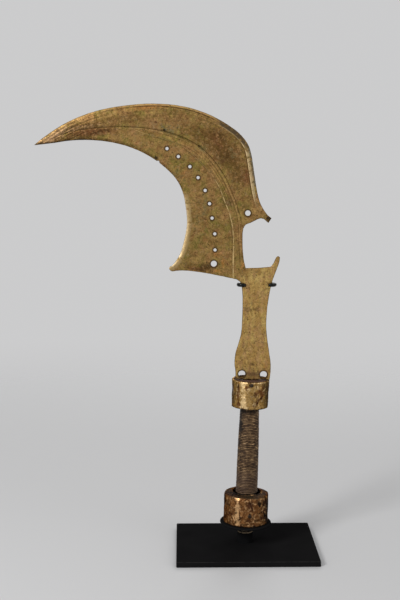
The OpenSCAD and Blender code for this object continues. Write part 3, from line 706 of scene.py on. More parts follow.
def worn(loop):
    """The outline with the small dents and flats that use leaves, always inwards."""
    ahead = np.roll(loop, -1, 0) - np.roll(loop, 1, 0)
    ahead /= np.linalg.norm(ahead, axis=1)[:, None]
    into = np.stack([ahead[:, 1], -ahead[:, 0]], 1)
    depth = []
    for x, z in loop:
        dent = wave((x * 0.16, 3.1, z * 0.16))
        chip = wave((x * 0.55, 8.7, z * 0.55))
        depth.append(0.16 * max(0.0, dent + 0.1) + 0.5 * max(0.0, chip - 0.42))
    return loop + into * np.array(depth)[:, None]


def hole_loop(centre, radius):
    """The slightly lumpy edge of a punched hole."""
    turns = np.arange(HOLE_POINTS) * 2 * math.pi / HOLE_POINTS
    lumpy = radius * (1 + 0.035 * np.array([
        wave((centre[0] + math.cos(a), centre[1], math.sin(a) * 1.4)) for a in turns]))
    return centre + np.stack([np.cos(turns) * lumpy, np.sin(turns) * lumpy], 1)


def grid_between(outline, holes, taken):
    """Points of a loose triangular grid inside the outline, outside the holes and off the points taken."""
    low, high = outline.min(0), outline.max(0)
    rows = int((high[1] - low[1]) / (FACE_STEP * ROW_SHARE)) + 1
    columns = int((high[0] - low[0]) / FACE_STEP) + 1
    grid = np.array([
        [low[0] + (c + 0.5 * (r % 2) + random.uniform(-GRID_PLAY, GRID_PLAY)) * FACE_STEP,
         low[1] + (r + random.uniform(-GRID_PLAY, GRID_PLAY)) * FACE_STEP * ROW_SHARE]
        for r in range(rows) for c in range(columns)])
    grid = grid[inside(grid, outline)]
    for hole in holes:
        grid = grid[~inside(grid, hole)]
    return grid[distances(grid, taken) > FACE_STEP * GRID_GAP]


def front_sketch(bm):
    """The flat triangulation that both faces share: points, triangles and distances from its edges."""
    front = [f for f in bm.faces if f.normal.y < -FACING]
    loops = sorted(border_loops(front), key=lambda loop: -abs(signed_area(loop)))
    outline = loops[0]
    if signed_area(outline) > 0:
        outline = outline[::-1]
    outline = np.roll(outline, -int(outline[:, 0].argmin()), 0)
    outline = worn(rounded_loop(outline, EDGE_STEP))
    holes, pits = [], []
    for loop in loops[1:]:
        centre = (loop.max(0) + loop.min(0)) / 2
        radius = float(np.linalg.norm(loop - centre, axis=1).mean())
        if abs(signed_area(loop)) < PIT_AREA:
            pits.append((centre, radius))
        else:
            holes.append(hole_loop(centre, radius))
    chosen = set(front)
    creases = []
    for edge in bm.edges:
        if len(edge.link_faces) == 2 and all(f in chosen for f in edge.link_faces):
            if edge.calc_face_angle(0) > CREASE:
                creases.append(fine([flat_xz(v.co) for v in edge.verts], EDGE_STEP))
    points, edges = [], []

    def lay(chain, closed):
        first = len(points)
        points.extend(chain)
        count = len(chain)
        edges.extend((first + k, first + (k + 1) % count) for k in range(count if closed else count - 1))

    for loop in (outline, *holes):
        lay(loop, True)
    border = tree_of(points)
    for chain in creases:
        if distances(chain, border).min() > CREASE_GAP:
            lay(chain, False)
    for centre, radius in pits:
        for share in PIT_RINGS:
            for a in np.arange(PIT_POINTS) * 2 * math.pi / PIT_POINTS:
                points.append(centre + radius * share * np.array([math.cos(a), math.sin(a)]))
    points.extend(grid_between(outline, holes, tree_of(points)))
    made = geometry.delaunay_2d_cdt([Vector(p) for p in points], edges, [], 0, 1e-5)
    flat = np.array([tuple(v) for v in made[0]])
    triangles = np.array([f for f in made[2] if len(f) == 3])
    centres = flat[triangles].mean(1)
    keep = inside(centres, outline)
    for hole in holes:
        keep &= ~inside(centres, hole)
    triangles = triangles[keep]
    used = np.unique(triangles)
    renumber = np.full(len(flat), -1)
    renumber[used] = np.arange(len(used))
    flat, triangles = flat[used], renumber[triangles]
    corner = flat[triangles]
    clockwise = crossed(corner[:, 1] - corner[:, 0], corner[:, 2] - corner[:, 0]) < 0
    triangles[clockwise] = triangles[clockwise][:, ::-1]
    barb, knob = (int(np.linalg.norm(outline - np.array(end), axis=1).argmin()) for end in (BARB, KNOB))
    runs = {"outer": outline[:barb + 1], "inner": outline[knob:], "rim": np.concatenate(holes),
            "border": outline}
    return flat, triangles, {name: distances(flat, tree_of(run)) for name, run in runs.items()}


def heights(bm, flat, side):
    """Where one face of the CAD blade stands over each flat point, in millimetres along Y."""
    faces = [f for f in bm.faces if f.normal.y * side > FACING]
    numbers = {v: i for i, v in enumerate(dict.fromkeys(v for f in faces for v in f.verts))}
    polygons = [[numbers[v] for v in f.verts] for f in faces]
    tree = BVHTree.FromPolygons([v.co.copy() for v in numbers], polygons)
    out = []
    for x, z in flat:
        hit = tree.ray_cast(Vector((x * MM, side * RAY_FROM, z * MM)), Vector((0, -side, 0)))[0]
        if hit is None:
            hit = tree.find_nearest(Vector((x * MM, side * BLADE_HALF * MM, z * MM)))[0]
        out.append(hit.y / MM)
    return np.array(out)


def softened(values, triangles):
    """Heights drawn a little towards their neighbours', so that crisp CAD edges look worn."""
    pairs = np.concatenate([triangles[:, [0, 1]], triangles[:, [1, 2]], triangles[:, [2, 0]]])
    at, beyond = np.concatenate([pairs, pairs[:, ::-1]]).T
    mean = np.bincount(at, values[beyond], len(values)) / np.bincount(at, minlength=len(values))
    return values + SOFTENING * (mean - values)


def forged(flat, from_edge, side):
    """The low swells and hammer marks left on a face, in millimetres, less near the edges."""
    out = [0.14 * wave((x * 0.035, side * 5.0, z * 0.035)) + 0.07 * wave((x * 0.13, side * 9.0, z * 0.13))
           + 0.03 * wave((x * 0.5, side * 2.0, z * 0.5)) for x, z in flat]
    return np.array(out) * np.clip(from_edge / 4, 0.1, 1)


def blob(flat, x, z, across, along, turn, strength):
    """A soft oval spot on the blade, at its full strength in its middle."""
    a = math.radians(turn)
    dx, dz = flat[:, 0] - x, flat[:, 1] - z
    u = (dx * math.cos(a) + dz * math.sin(a)) / across
    w = (-dx * math.sin(a) + dz * math.cos(a)) / along
    return strength * spot(u, w)


# Stains on the blade by channel: x, z, half widths, turn in degrees, strength; in the row frame
STAINS = {
    "lobe": [
        (-22, 372, 24, 14, -48, 1.1), (-50, 389, 24, 9, -24, 0.5), (-8, 348, 11, 16, 8, 0.6),
        (-146, 389, 34, 10, 14, 0.85), (-92, 400, 34, 8, 0, 0.3)],
    "russet": [
        (-27, 378, 13, 6, -48, 0.6), (-138, 386.5, 20, 3.4, 4, 1.2), (-44, 263, 14, 3.4, -8, 0.8),
        (-5, 340, 7, 8, 0, 0.35), (-1, 349, 4, 9, 8, 0.7), (-82, 411, 8, 1.6, 0, 0.8)],
    "purple": [
        (-17, 324, 7, 5, 0, 0.75), (6, 166, 12, 3, 0, 1.0), (-14, 300, 3, 12, 0, 0.4),
        (-95, 392, 14, 5, 10, 0.3), (-24, 362, 6, 5, 0, 0.5)],
    "umber": [
        (-37, 265.5, 7, 3.2, 8, 1.3), (-45, 262.8, 10, 0.9, -12, 0.9), (-128, 388.5, 12, 2, 4, 0.6),
        (-150, 384, 26, 1.8, 8, 0.8), (-146, 392.5, 14, 1.4, 8, 0.6), (-19, 366, 7, 10, -40, 0.45),
        (-26, 385, 9, 3.5, -45, 0.6), (3, 226, 12, 3.5, 0, 0.55), (5, 175, 2.4, 2.4, 0, 0.8),
        (-1, 188, 3, 3, 0, 0.45), (-6, 179, 3, 5, 0, 0.4), (17, 205, 2, 4, 0, 0.3)],
    "orange": [
        (-27.5, 261.8, 4, 1.8, 0, 0.9), (-22, 269, 2.6, 5, 0, 0.8), (17, 172, 3, 6, 0, 0.5),
        (-93, 408, 20, 2.4, 3, 0.7), (-4, 266, 3.5, 5, 0, 0.65), (-60, 352, 6, 9, 40, 0.3),
        (-28, 277, 6, 4, -30, 0.5)],
    "verdigris": [
        (-70, 387, 8, 3.5, -20, 0.7), (-38, 318, 5, 12, 0, 0.5), (-64, 350, 8, 5, 40, 0.5),
        (-41, 372.5, 5, 4, -40, 0.7), (-56, 280, 7, 10, 0, 0.5), (-46, 305, 5, 16, 0, 0.3),
        (-14, 368, 4, 7, 30, 0.4)],
    "gold": [
        (5, 316, 6, 4, 0, 0.6), (-46, 272, 7, 4, 0, 0.5), (-14, 268, 3, 8, 0, 0.4),
        (-62, 330, 5, 10, 30, 0.4), (-56, 300, 4, 20, 0, 0.3), (-124, 401, 16, 2.4, 14, 0.6),
        (-86, 404, 14, 3, 4, 0.35)],
    "blush": [(-176, 381, 17, 4.5, 30, 0.9), (-150, 390, 16, 2, 12, 0.45), (21, 269, 3.5, 6, -20, 0.7)],
    "slate": [(-74, 391, 14, 4, 10, 0.3)],
    "soot": [
        (20.5, 309, 4.6, 3.4, -50, 1.1), (-82.3, 363.6, 2.4, 2, 0, 1.0), (-74.7, 388.2, 1.1, 1.1, 0, 1.2),
        (-43.6, 374.2, 1.1, 1.1, 0, 1.2)],
}
# Height in the row frame up to which the neck is bare, and half of the length over which that fades
NECK_TOP = 262.0
NECK_FADE = 8.0


def blade_layers(flat, near):
    """Distances, stain channels and the places of the thin lines, by the names that blade_brass reads."""
    x, z = flat[:, 0], flat[:, 1]
    outer, inner = near["outer"], near["inner"]
    layers = {name: sum((blob(flat, *oval) for oval in ovals), np.zeros(len(flat)))
              for name, ovals in STAINS.items()}
    inner_side, outer_side = on_blade(RIB_INNER), on_blade(RIB_OUTER)
    (layers["crest_in"], at_in), (layers["crest_out"], at_out) = (
        beside(flat, curved(inner_side + share * (outer_side - inner_side))) for share in CREST_SHARES)
    layers["groove"], _ = beside(flat, curved(on_blade(LINE)))
    layers["crest_in_on"] = 0.2 + 0.8 * smoothstep(0.4, 0.62, at_in)
    layers["crest_out_on"] = (0.3 + 0.35 * smoothstep(0.4, 0.6, at_out)) * smoothstep(1.0, 0.86, at_out)
    layers["shade_on"] = 0.8 * smoothstep(0.3, 0.45, at_out) * smoothstep(1.0, 0.92, at_out)
    layers["groove_on"] = (0.45 + 0.3 * smoothstep(-90, -60, x)) * smoothstep(-186, -170, x)
    between = smoothstep(1.5, -0.5, layers["crest_out"]) * smoothstep(-1.5, 0.5, layers["crest_in"])
    layers["fluted"] = between * smoothstep(0.05, 0.2, at_in) * smoothstep(0.75, 0.55, at_in)
    layers["neck"] = 1 - smoothstep(NECK_TOP - NECK_FADE, NECK_TOP + NECK_FADE, z - 0.4 * (x - 5))
    # Along the lobe's right edge: a grey rim with lines inside it, and higher up a dark shoulder
    right = smoothstep(-32, -22, x)
    high = smoothstep(366, 378, z)
    layers["bevel_on"] = right * smoothstep(318, 334, z) * (1 - 0.75 * smoothstep(372, 380, z))
    layers["slate"] += 1.1 * smoothstep(2.2, 1.0, outer) * right * smoothstep(330, 344, z) * (1 - high)
    layers["shoulder_on"] = right * high
    layers["cheek_on"] = 0.75 * right * smoothstep(322, 334, z) * (1 - high)
    # The ground edges of the crown and of the crescent's inner side; where neither is, the border gets
    # painted shade
    crown = 0.5 + 0.5 * smoothstep(-110, -96, x)
    layers["edge_on"] = smoothstep(-176, -165, x) * smoothstep(-24, -34, x) * crown
    layers["inner_on"] = smoothstep(336, 322, z) * (x < -20)
    layers["border_shade"] = 0.8 * (1 - layers["inner_on"]) * (1 - 0.8 * layers["edge_on"])
    layers["drawn"] = smoothstep(-118, -150, x) + 0.5 * smoothstep(14, 6, outer) * (z > 380)
    layers["umber"] += (0.5 - 0.12 * layers["inner_on"]) * smoothstep(3.0, 1.4, inner)
    layers["soot"] += 0.8 * smoothstep(1.6, 0.6, inner) * smoothstep(-118, -150, x)
    return {**layers, **near}


def inner_crest(flat):
    """How far the inner crest's run below the solid rib stands up at each point, in millimetres."""
    crest = curved(on_blade([
        (a + CREST_SHARES[0] * (c - a), b) for (a, b), (c, _) in zip(RIB_INNER, RIB_OUTER)]))
    off, _ = beside(flat, crest)
    foot = on_blade([(0, CREST_FOOT)])[0][1]
    return CREST_RISE * np.exp(-(off / CREST_HALF) ** 2) * smoothstep(foot + 8, foot - 4, flat[:, 1])


def blade(material):
    """The forged blade: two faces on one flat triangulation, and a slightly bulging rim between them."""
    bm = blade_cad()
    flat, triangles, near = front_sketch(bm)
    count = len(flat)
    ridge = inner_crest(flat)
    sides = {}
    for side in (-1, 1):
        y = softened(heights(bm, flat, side), triangles) + side * ridge
        sides[side] = y + forged(flat, near["border"], side)
    bm.free()
    corners = triangles.tolist()
    # The edges that only one triangle has, each in that triangle's direction
    once = {}
    for p, q, r in corners:
        for a, b in ((p, q), (q, r), (r, p)):
            if not once.pop((b, a), False):
                once[a, b] = True
    outward = np.zeros((count, 2))
    for a, b in once:
        way = flat[b] - flat[a]
        for k in (a, b):
            outward[k] += np.array([way[1], -way[0]]) / max(np.linalg.norm(way), 1e-9)
    rim = sorted({k for edge in once for k in edge})
    middle = {k: 2 * count + i for i, k in enumerate(rim)}
    verts = [Vector((x, y, z)) * MM for side in (-1, 1) for (x, z), y in zip(flat, sides[side])]
    for k in rim:
        thick = sides[1][k] - sides[-1][k]
        out = outward[k] / max(np.linalg.norm(outward[k]), 1e-9)
        x, z = flat[k] + out * min(RIM_BULGE * thick, RIM_BULGE_MOST)
        verts.append(Vector((x, (sides[1][k] + sides[-1][k]) / 2, z)) * MM)
    faces = corners + [[k + count for k in t[::-1]] for t in corners]
    for a, b in once:
        faces.append((b, a, middle[a], middle[b]))
        faces.append((middle[b], middle[a], a + count, b + count))
    obj = link("forged_blade", verts, faces, 50)
    index = np.concatenate([np.arange(count), np.arange(count), rim]).astype(int)
    write_layers(obj, blade_layers(flat[index], {name: d[index] for name, d in near.items()}))
    return piece(obj, "knife", "blade_brass", material, "blade")


# The sheathed collar and pommel


def hammer_dent(radius, angle, z, seed, depth):
    """How far hammered sheet stands off its nominal surface there, in millimetres."""
    p = Vector(polar(radius, angle, z))
    swell = wave(p, 0.11, (seed, 0, 0))
    cell = noise.voronoi(p * 0.24 + Vector((0, seed, 0)))[0]
    facet = min(cell[1] - cell[0], 0.6)
    crease = abs(wave(p, 0.3, (0, 0, seed)))
    return depth * (swell + 0.75 * (facet - 0.3) - 0.8 * (crease - 0.2))


def revolved(profile, segments, shift, start=0.0, sweep=None):
    """Vertices and faces of a closed profile of (radius, z) turned about the axis; shift moves its points.

    Without a sweep it goes all the way round, and otherwise it has an end face at both ends."""
    rows = segments + 1 if sweep else segments
    count = len(profile)
    verts = []
    for k in range(rows):
        a = start + (sweep or 2 * math.pi) * k / segments
        for r, z in profile:
            r, z = shift(a, r, z)
            verts.append(polar(r, a, z))
    faces = []
    for k in range(segments):
        here, there = k * count, (k + 1) % rows * count
        for i in range(count):
            j = (i + 1) % count
            faces.append((here + i, there + i, there + j, here + j))
    if sweep:
        faces.append(tuple(range(count)))
        faces.append(tuple(range((rows - 1) * count, rows * count))[::-1])
    return verts, faces


def joined(parts):
    verts, faces = [], []
    for more_verts, more_faces in parts:
        first = len(verts)
        verts += more_verts
        faces += [tuple(first + i for i in face) for face in more_faces]
    return verts, faces


def outwards(obj):
    """Turns every face outwards, so that closed shells of either winding shade alike."""
    bm = bmesh.new()
    bm.from_mesh(obj.data)
    bmesh.ops.recalc_face_normals(bm, faces=bm.faces)
    bm.to_mesh(obj.data)
    bm.free()
    return obj


# How far the sheet stays flatter round a tack's head, in millimetres
TACK_FLAT = 2.5


def near_tacks(angle, z, tacks):
    """1 at a tack, fading to 0 a few millimetres away, so that the sheet is flat under its head."""
    most = 0.0
    for at, height, radius in tacks:
        turn = (angle - at + math.pi) % (2 * math.pi) - math.pi
        gap = math.hypot(turn * radius, z - height)
        most = max(most, 1 - min(1.0, max(0.0, gap - TACK_R) / TACK_FLAT))
    return most


# The back tacks' distance from the sleeves' ends, the front ones' heights, and how far round the pommel's is
TACK_INSET = 4.5
COLLAR_FRONT_TACK = COLLAR_H - 2.6
POMMEL_FRONT_TACK = 11.0
POMMEL_FRONT_TURN = math.radians(6)


def collar_r(z):
    return COLLAR_R_LOW + (COLLAR_R_TOP - COLLAR_R_LOW) * z / COLLAR_H


def tack_seat(z):
    """The collar's radius at the upper edge of a tack, where its flat head touches the widening sheet."""
    return collar_r(z + TACK_R)


# Each tack's angle, height over the sleeve's foot and distance from the axis
COLLAR_TACKS = [(FRONT, COLLAR_FRONT_TACK, tack_seat(COLLAR_FRONT_TACK)),
                (BACK, TACK_INSET, tack_seat(TACK_INSET) + SHEET_T),
                (BACK, COLLAR_H - TACK_INSET, tack_seat(COLLAR_H - TACK_INSET) + SHEET_T)]
POMMEL_TACKS = [(FRONT + POMMEL_FRONT_TURN, POMMEL_FRONT_TACK, POMMEL_R),
                (BACK, TACK_INSET, POMMEL_R + SHEET_T),
                (BACK, POMMEL_H - TACK_INSET, POMMEL_R + SHEET_T)]


def sheet_layers(local, height, patches, seed, lip=0.0):
    """Stain, painted shade and painted highlight channels of a sheet piece: ovals at (angle in degrees, z,
    half width, half height, strength).

    Inside the lip's radius it is dark all over: painted shade in the collar's mouth."""
    x, y, z = np.array(local, float).T
    angle = np.degrees(np.arctan2(y, x))
    places = [Vector(p) * 0.2 + Vector((seed, seed, 0)) for p in local]

    def clouds(strength, scale, shift, least):
        return np.array([strength * max(0.0, wave(p, scale, shift) * 2 - least) for p in places])
    layers = {"stain": clouds(0.5, 1.0, (0, 0, 0), 0.1), "dark_and_shade": clouds(0.2, 1.7, (4, 0, 0), 0.3),
              "pale_and_highlight": clouds(0.2, 1.3, (0, 7, 0), 0.3), "dull_and_shade": np.zeros(len(z))}
    # Painted shade inside the collar's mouth
    layers["dark_and_shade"] += np.hypot(x, y) < lip
    # Painted shade along the foot
    layers["dark_and_shade"] += 0.5 * np.clip(1 - np.maximum(z, 0) / 1.6, 0, 1) * (z < height / 2)
    # Painted highlight along the top rim, with some wear
    layers["pale_and_highlight"] += 0.5 * np.clip(1 - np.abs(height - z), 0, 1) * (z > height / 2)
    for name, ovals in patches.items():
        for turn, at, wide, high, strength in ovals:
            layers[name] += strength * spot(turn_from(turn, angle) / wide, (z - at) / high)
    return {name: np.minimum(values, 1.2) for name, values in layers.items()}


def lap_profile(radius, low, high):
    """Section of the strip of sheet that laps over a sleeve, a little sunk in it, with eased outer edges."""
    ease, sunk = 0.2, 0.15
    foot, head = radius(low), radius(high)
    return fine([
        (foot - sunk, low), (foot + SHEET_T - ease, low), (foot + SHEET_T, low + ease),
        (head + SHEET_T, high - ease), (head + SHEET_T - ease, high), (head - sunk, high)], 0.8, True)


# Steps of each piece round the axis
LAP_SEGMENTS = 24
TACK_SEGMENTS = 28
COLLAR_SEGMENTS = 210
POMMEL_SEGMENTS = 240


def sheet_piece(name, z0, profile, segments, dent, tacks, lap, lift=None):
    """A hammered sleeve with its lap in the knife's frame, and its points relative to its own foot."""
    def shift(angle, r, z):
        keep = 1 - near_tacks(angle, z, tacks)
        return r + keep * dent(angle, z), z + (lift(angle, z) if lift else 0.0)
    verts, faces = joined([
        revolved(profile, segments, shift), revolved(lap, LAP_SEGMENTS, shift, BACK - LAP / 2, LAP)])
    return outwards(link(name, in_knife([(x, y, z + z0) for x, y, z in verts]), faces, 55)), verts


# Stains, wear, painted shade and painted highlight on the two sleeves by channel: angle in degrees, z over
# the foot, half width, half height, strength. The dark and dull patches on the left and right sides and the
# dark line along the foot are painted shade; the pale patches near -115 degrees and along the top rim are
# bare metal and painted highlight.
COLLAR_PATCHES = {
    "stain": [
        (-132, 17.7, 5, 5.5, 1.0), (-104, 20.5, 8, 2.4, 1.0), (-57, 14, 9, 8, 0.75), (-63, 19, 4, 4, 0.7),
        (-69, 6.5, 3.5, 1.6, 0.9), (-134, 5.5, 5, 3, 0.8), (-100, 13, 3, 2, 0.5), (-48, 6, 6, 4, 0.6)],
    "dark_and_shade": [
        (176, 12, 12, 14, 1.0), (-6, 12, 14, 16, 1.0), (90, 25.8, 60, 0.9, 1.2), (-94, 22.9, 4, 1.0, 0.7),
        (-134, 20, 3, 3, 0.5), (-66, 22.5, 3, 1.4, 0.6), (-60, 11, 3, 1.6, 0.5), (-90, 0.3, 80, 0.5, 0.6),
        (-70, 6.5, 2, 1.2, 0.6)],
    "pale_and_highlight": [
        (-114, 12, 9, 14, 0.65), (-120, 22, 6, 3, 0.7), (-124, 24, 3.5, 1.6, 1.0), (-124, 1.6, 4, 1.8, 1.0),
        (-106, 1.4, 4, 1.6, 1.0), (-71, 22.5, 3, 1.3, 0.6), (-88, 24.6, 34, 0.5, 0.7), (-112, 5, 10, 4, 0.6),
        (-62, 24, 4, 1.2, 0.5)],
    "dull_and_shade": [(-164, 13, 16, 18, 1.2), (-26, 14, 22, 18, 1.3), (150, 12, 40, 14, 0.5), (-45, 22, 8, 3, 0.4)],
}
POMMEL_PATCHES = {
    "stain": [
        (-84, 19, 7, 6, 0.8), (-86, 6, 5, 5, 0.6), (-64, 13, 5, 2, 0.8), (-140, 11, 6, 5, 0.7),
        (-104, 3, 8, 3, 0.5), (-52, 9, 9, 5, 0.5), (-36, 14, 12, 12, 0.7), (-136, 22, 6, 3, 0.5)],
    "dark_and_shade": [
        (-57, 22, 6, 3.2, 1.0), (-83, 10.8, 5, 3.6, 1.1), (-18, 13, 16, 18, 1.1), (-178, 14, 10, 16, 0.8),
        (-62, 13, 2.6, 1.2, 0.9), (-94, 0.4, 90, 0.8, 0.9), (-40, 8, 5, 5, 0.5), (-128, 14, 2.5, 3, 0.5),
        (-140, 7, 3, 2, 0.5)],
    "pale_and_highlight": [
        (-116, 18, 5, 8, 1.5), (-118, 10, 7, 9, 0.7), (-126, 7, 6, 4, 0.6), (-112, 5, 5, 3, 0.6),
        (-134, 26.6, 5, 0.9, 0.9), (-93, 4, 4, 3, 0.5), (-72, 18, 3, 3, 0.5), (-74, 6, 4, 2, 0.4),
        (-104, 25, 16, 0.9, 0.5)],
    "dull_and_shade": [(-152, 20, 8, 5, 0.6), (-62, 24.5, 12, 2, 0.6), (-36, 16, 16, 16, 0.7)],
}
# The same on the pommel's cap, with painted highlight on its outer rim and painted shade at its mouth
CAP_PATCHES = {
    "stain": [(-150, 27.6, 16, 1.6, 0.7), (30, 28, 30, 3, 0.4)],
    "dark_and_shade": [(-155, 28.5, 25, 3, 0.6), (90, 28.6, 60, 2, 0.4), (-90, 29.0, 60, 0.6, 0.7)],
    "pale_and_highlight": [(-120, 26.9, 14, 0.5, 0.9), (-72, 29.1, 12, 0.3, 0.6), (-90, 28.5, 180, 1.0, -0.5)],
    "dull_and_shade": [(-90, 28.4, 180, 1.6, 1.2), (-60, 28, 26, 3, 0.5)],
}
# The knock in the collar's left side: angle, height, depth, half width in degrees and half height
KNOCK_TURN, KNOCK_Z, KNOCK_DEPTH, KNOCK_WIDE, KNOCK_HIGH = -176, 16.0, 0.9, 20, 4


def collar_dent(angle, z):
    aside = turn_from(KNOCK_TURN, math.degrees(angle))
    knock = KNOCK_DEPTH * spot(aside / KNOCK_WIDE, (z - KNOCK_Z) / KNOCK_HIGH)
    return hammer_dent(COLLAR_R_LOW, angle, z, 3.0, 0.42) + 0.12 - knock


def raised_rim(angle, z):
    """How far the collar's upper rim stands up behind the blade."""
    lift = 0.5 + 0.3 * wave(polar(1.5, angle, 2.0))
    return lift * float(smoothstep(0.1, 0.7, math.sin(angle))) * (z > COLLAR_H - 0.7)


def collar_sheet(material):
    ease = 0.5
    top, low = COLLAR_R_TOP, COLLAR_R_LOW
    profile = fine([
        (low - COLLAR_LIP, 0), (low - ease, 0), (low - 0.15, 0.15), (low, ease), (top, COLLAR_H - ease),
        (top - 0.15, COLLAR_H - 0.15), (top - ease, COLLAR_H), (top - COLLAR_LIP, COLLAR_H),
        (top - COLLAR_LIP - 0.1, COLLAR_H - SHEET_T / 2), (top - COLLAR_LIP, COLLAR_H - SHEET_T),
        (top - SHEET_T, COLLAR_H - SHEET_T), (low - SHEET_T, SHEET_T), (low - COLLAR_LIP, SHEET_T)],
        0.55, True)
    lap = lap_profile(collar_r, 1.0, COLLAR_H - 1.0)
    obj, local = sheet_piece("collar_sheet", COLLAR_Z, profile, COLLAR_SEGMENTS, collar_dent, COLLAR_TACKS,
                             lap, raised_rim)
    write_layers(obj, sheet_layers(local, COLLAR_H, COLLAR_PATCHES, 1.0, COLLAR_R_LOW - 0.75))
    return piece(obj, "knife", "collar_brass", material, "collar_sleeve")


def pommel_dent(angle, z):
    return hammer_dent(POMMEL_R, angle, z, 11.0, 0.45)


def rim_draw(z):
    """How far the pommel's sheets are drawn in towards its upper rim."""
    return 0.35 * float(smoothstep(POMMEL_H - 2.6, POMMEL_H, z))


def pommel_sheet(material):
    high = POMMEL_H - SHEET_T
    profile = fine([
        (POMMEL_R - SHEET_T, 0), (POMMEL_R - 0.4, 0), (POMMEL_R - 0.1, 0.15), (POMMEL_R, 0.5),
        (POMMEL_R, high), (POMMEL_R - SHEET_T, high)], 0.6, True)
    lap = lap_profile(lambda z: POMMEL_R, 0.8, POMMEL_H - 1.2)
    obj, local = sheet_piece("pommel_sheet", 0, profile, POMMEL_SEGMENTS,
                             lambda angle, z: pommel_dent(angle, z) - rim_draw(z), POMMEL_TACKS, lap)
    write_layers(obj, sheet_layers(local, POMMEL_H, POMMEL_PATCHES, 6.0))
    return piece(obj, "knife", "pommel_copper", material, "pommel_sleeve")


def cap_z(r):
    return POMMEL_H + POMMEL_DOME * (POMMEL_R - r) / (POMMEL_R - MOUTH_R)


def pommel_top(material):
    mouth = cap_z(MOUTH_R)
    inner = MOUTH_R + SHEET_T
    profile = fine([
        (POMMEL_R, POMMEL_H - SHEET_T), (POMMEL_R - 0.1, POMMEL_H - 0.3), (POMMEL_R - 0.4, POMMEL_H),
        (POMMEL_R - 0.9, POMMEL_H + 0.18), (POMMEL_R - 1.6, cap_z(POMMEL_R - 1.6)),
        (MOUTH_R + 0.9, cap_z(MOUTH_R + 0.9)), (MOUTH_R + 0.25, mouth - 0.05), (MOUTH_R, mouth - 0.5),
        (MOUTH_R, mouth - MOUTH_LIP), (inner, mouth - MOUTH_LIP), (inner, cap_z(inner) - SHEET_T)],
        0.55, True)

    def shift(angle, r, z):
        swell = pommel_dent(angle, z) * (1 if r > POMMEL_R - 1 else 0.6)
        lump = wave(polar(r, angle, 20), 0.22)
        return r + swell - rim_draw(z), z + max(0.0, 0.35 * lump + 0.12) * (z > POMMEL_H - 0.5)
    verts, faces = revolved(profile, POMMEL_SEGMENTS, shift)
    obj = outwards(link("pommel_top", in_knife(verts), faces, 55))
    write_layers(obj, sheet_layers(verts, POMMEL_H + 2, CAP_PATCHES, 9.0))
    return piece(obj, "knife", "pommel_copper", material, "pommel_cap")


def tack_heads(name, foot, tacks, material, node):
    """Domed iron heads with a stub of shank, each a little out of true."""
    parts = []
    for number, (angle, z, radius) in enumerate(tacks):
        profile = [(0.001, TACK_H)] + [
            (TACK_R * math.sin(t), 0.02 + (TACK_H - 0.02) * math.cos(t)) for t in np.linspace(0.2, 1.45, 8)]
        profile += [(TACK_R * 0.97, 0.0), (0.6, 0.0), (0.6, -2.0), (0.001, -2.2)]

        def shift(turn, r, h, number=number):
            lump = wave(polar(1, turn, number * 3.7 + h))
            return r * (1 + 0.1 * lump), h + 0.05 * lump * (h > 0.1)
        verts, faces = revolved(profile, TACK_SEGMENTS, shift)
        round_axis = Matrix.Rotation(angle, 3, "Z")
        turned = round_axis @ Matrix.Rotation(math.radians(90), 3, "Y")
        place = round_axis @ Vector((radius, 0, 0)) + Vector((0, 0, z + foot))
        parts.append(([turned @ Vector(v) + place for v in verts], faces))
    verts, faces = joined(parts)
    obj = outwards(link(name, in_knife(verts), faces, 50))
    return piece(obj, "knife", "tack_iron", material, node)


# The wound grip

WIRE_R = 0.7
WIRE_TURNS = 54
# Rings of the wire in a turn, and sides of each
WIRE_STEPS = 30
WIRE_SIDES = 10
# Angle at which the wire comes out of the grip, and how far round its straight ends stand from its turns
WIRE_BEGIN = math.radians(70)
WIRE_END_TURN = 0.16
# Strands lying loose over the others: start and sweep in degrees, height, climb, lift in radii of the wire
LOOSE = ((-150, 125, 73.8, 4.6, 0.95), (-125, 80, 78.6, -3.6, 1.05), (40, 120, 90.0, -4.0, 0.9))


def grip_r(z):
    share = max(0.0, (z - WINDING_Z) / (COLLAR_Z - WINDING_Z))
    return GRIP_R_LOW + (GRIP_R_TOP - GRIP_R_LOW) * share ** GRIP_CURVE


def tube(path, outs, radii, sides):
    """Vertices, faces and how outward each vertex faces, round a path; outs is each ring's way outwards."""
    verts, faces, facing = [], [], []
    count = len(path)
    for k in range(count):
        along = (path[min(k + 1, count - 1)] - path[max(k - 1, 0)]).normalized()
        out = (outs[k] - along * outs[k].dot(along)).normalized()
        side = along.cross(out)
        for i in range(sides):
            a = 2 * math.pi * i / sides
            verts.append(path[k] + (out * math.cos(a) + side * math.sin(a)) * radii[k])
            facing.append(max(0.0, math.cos(a)))
    for k in range(count - 1):
        for i in range(sides):
            j = (i + 1) % sides
            faces.append((k * sides + i, k * sides + j, (k + 1) * sides + j, (k + 1) * sides + i))
    faces.append(tuple(range(sides))[::-1])
    faces.append(tuple(range((count - 1) * sides, count * sides)))
    return verts, faces, facing


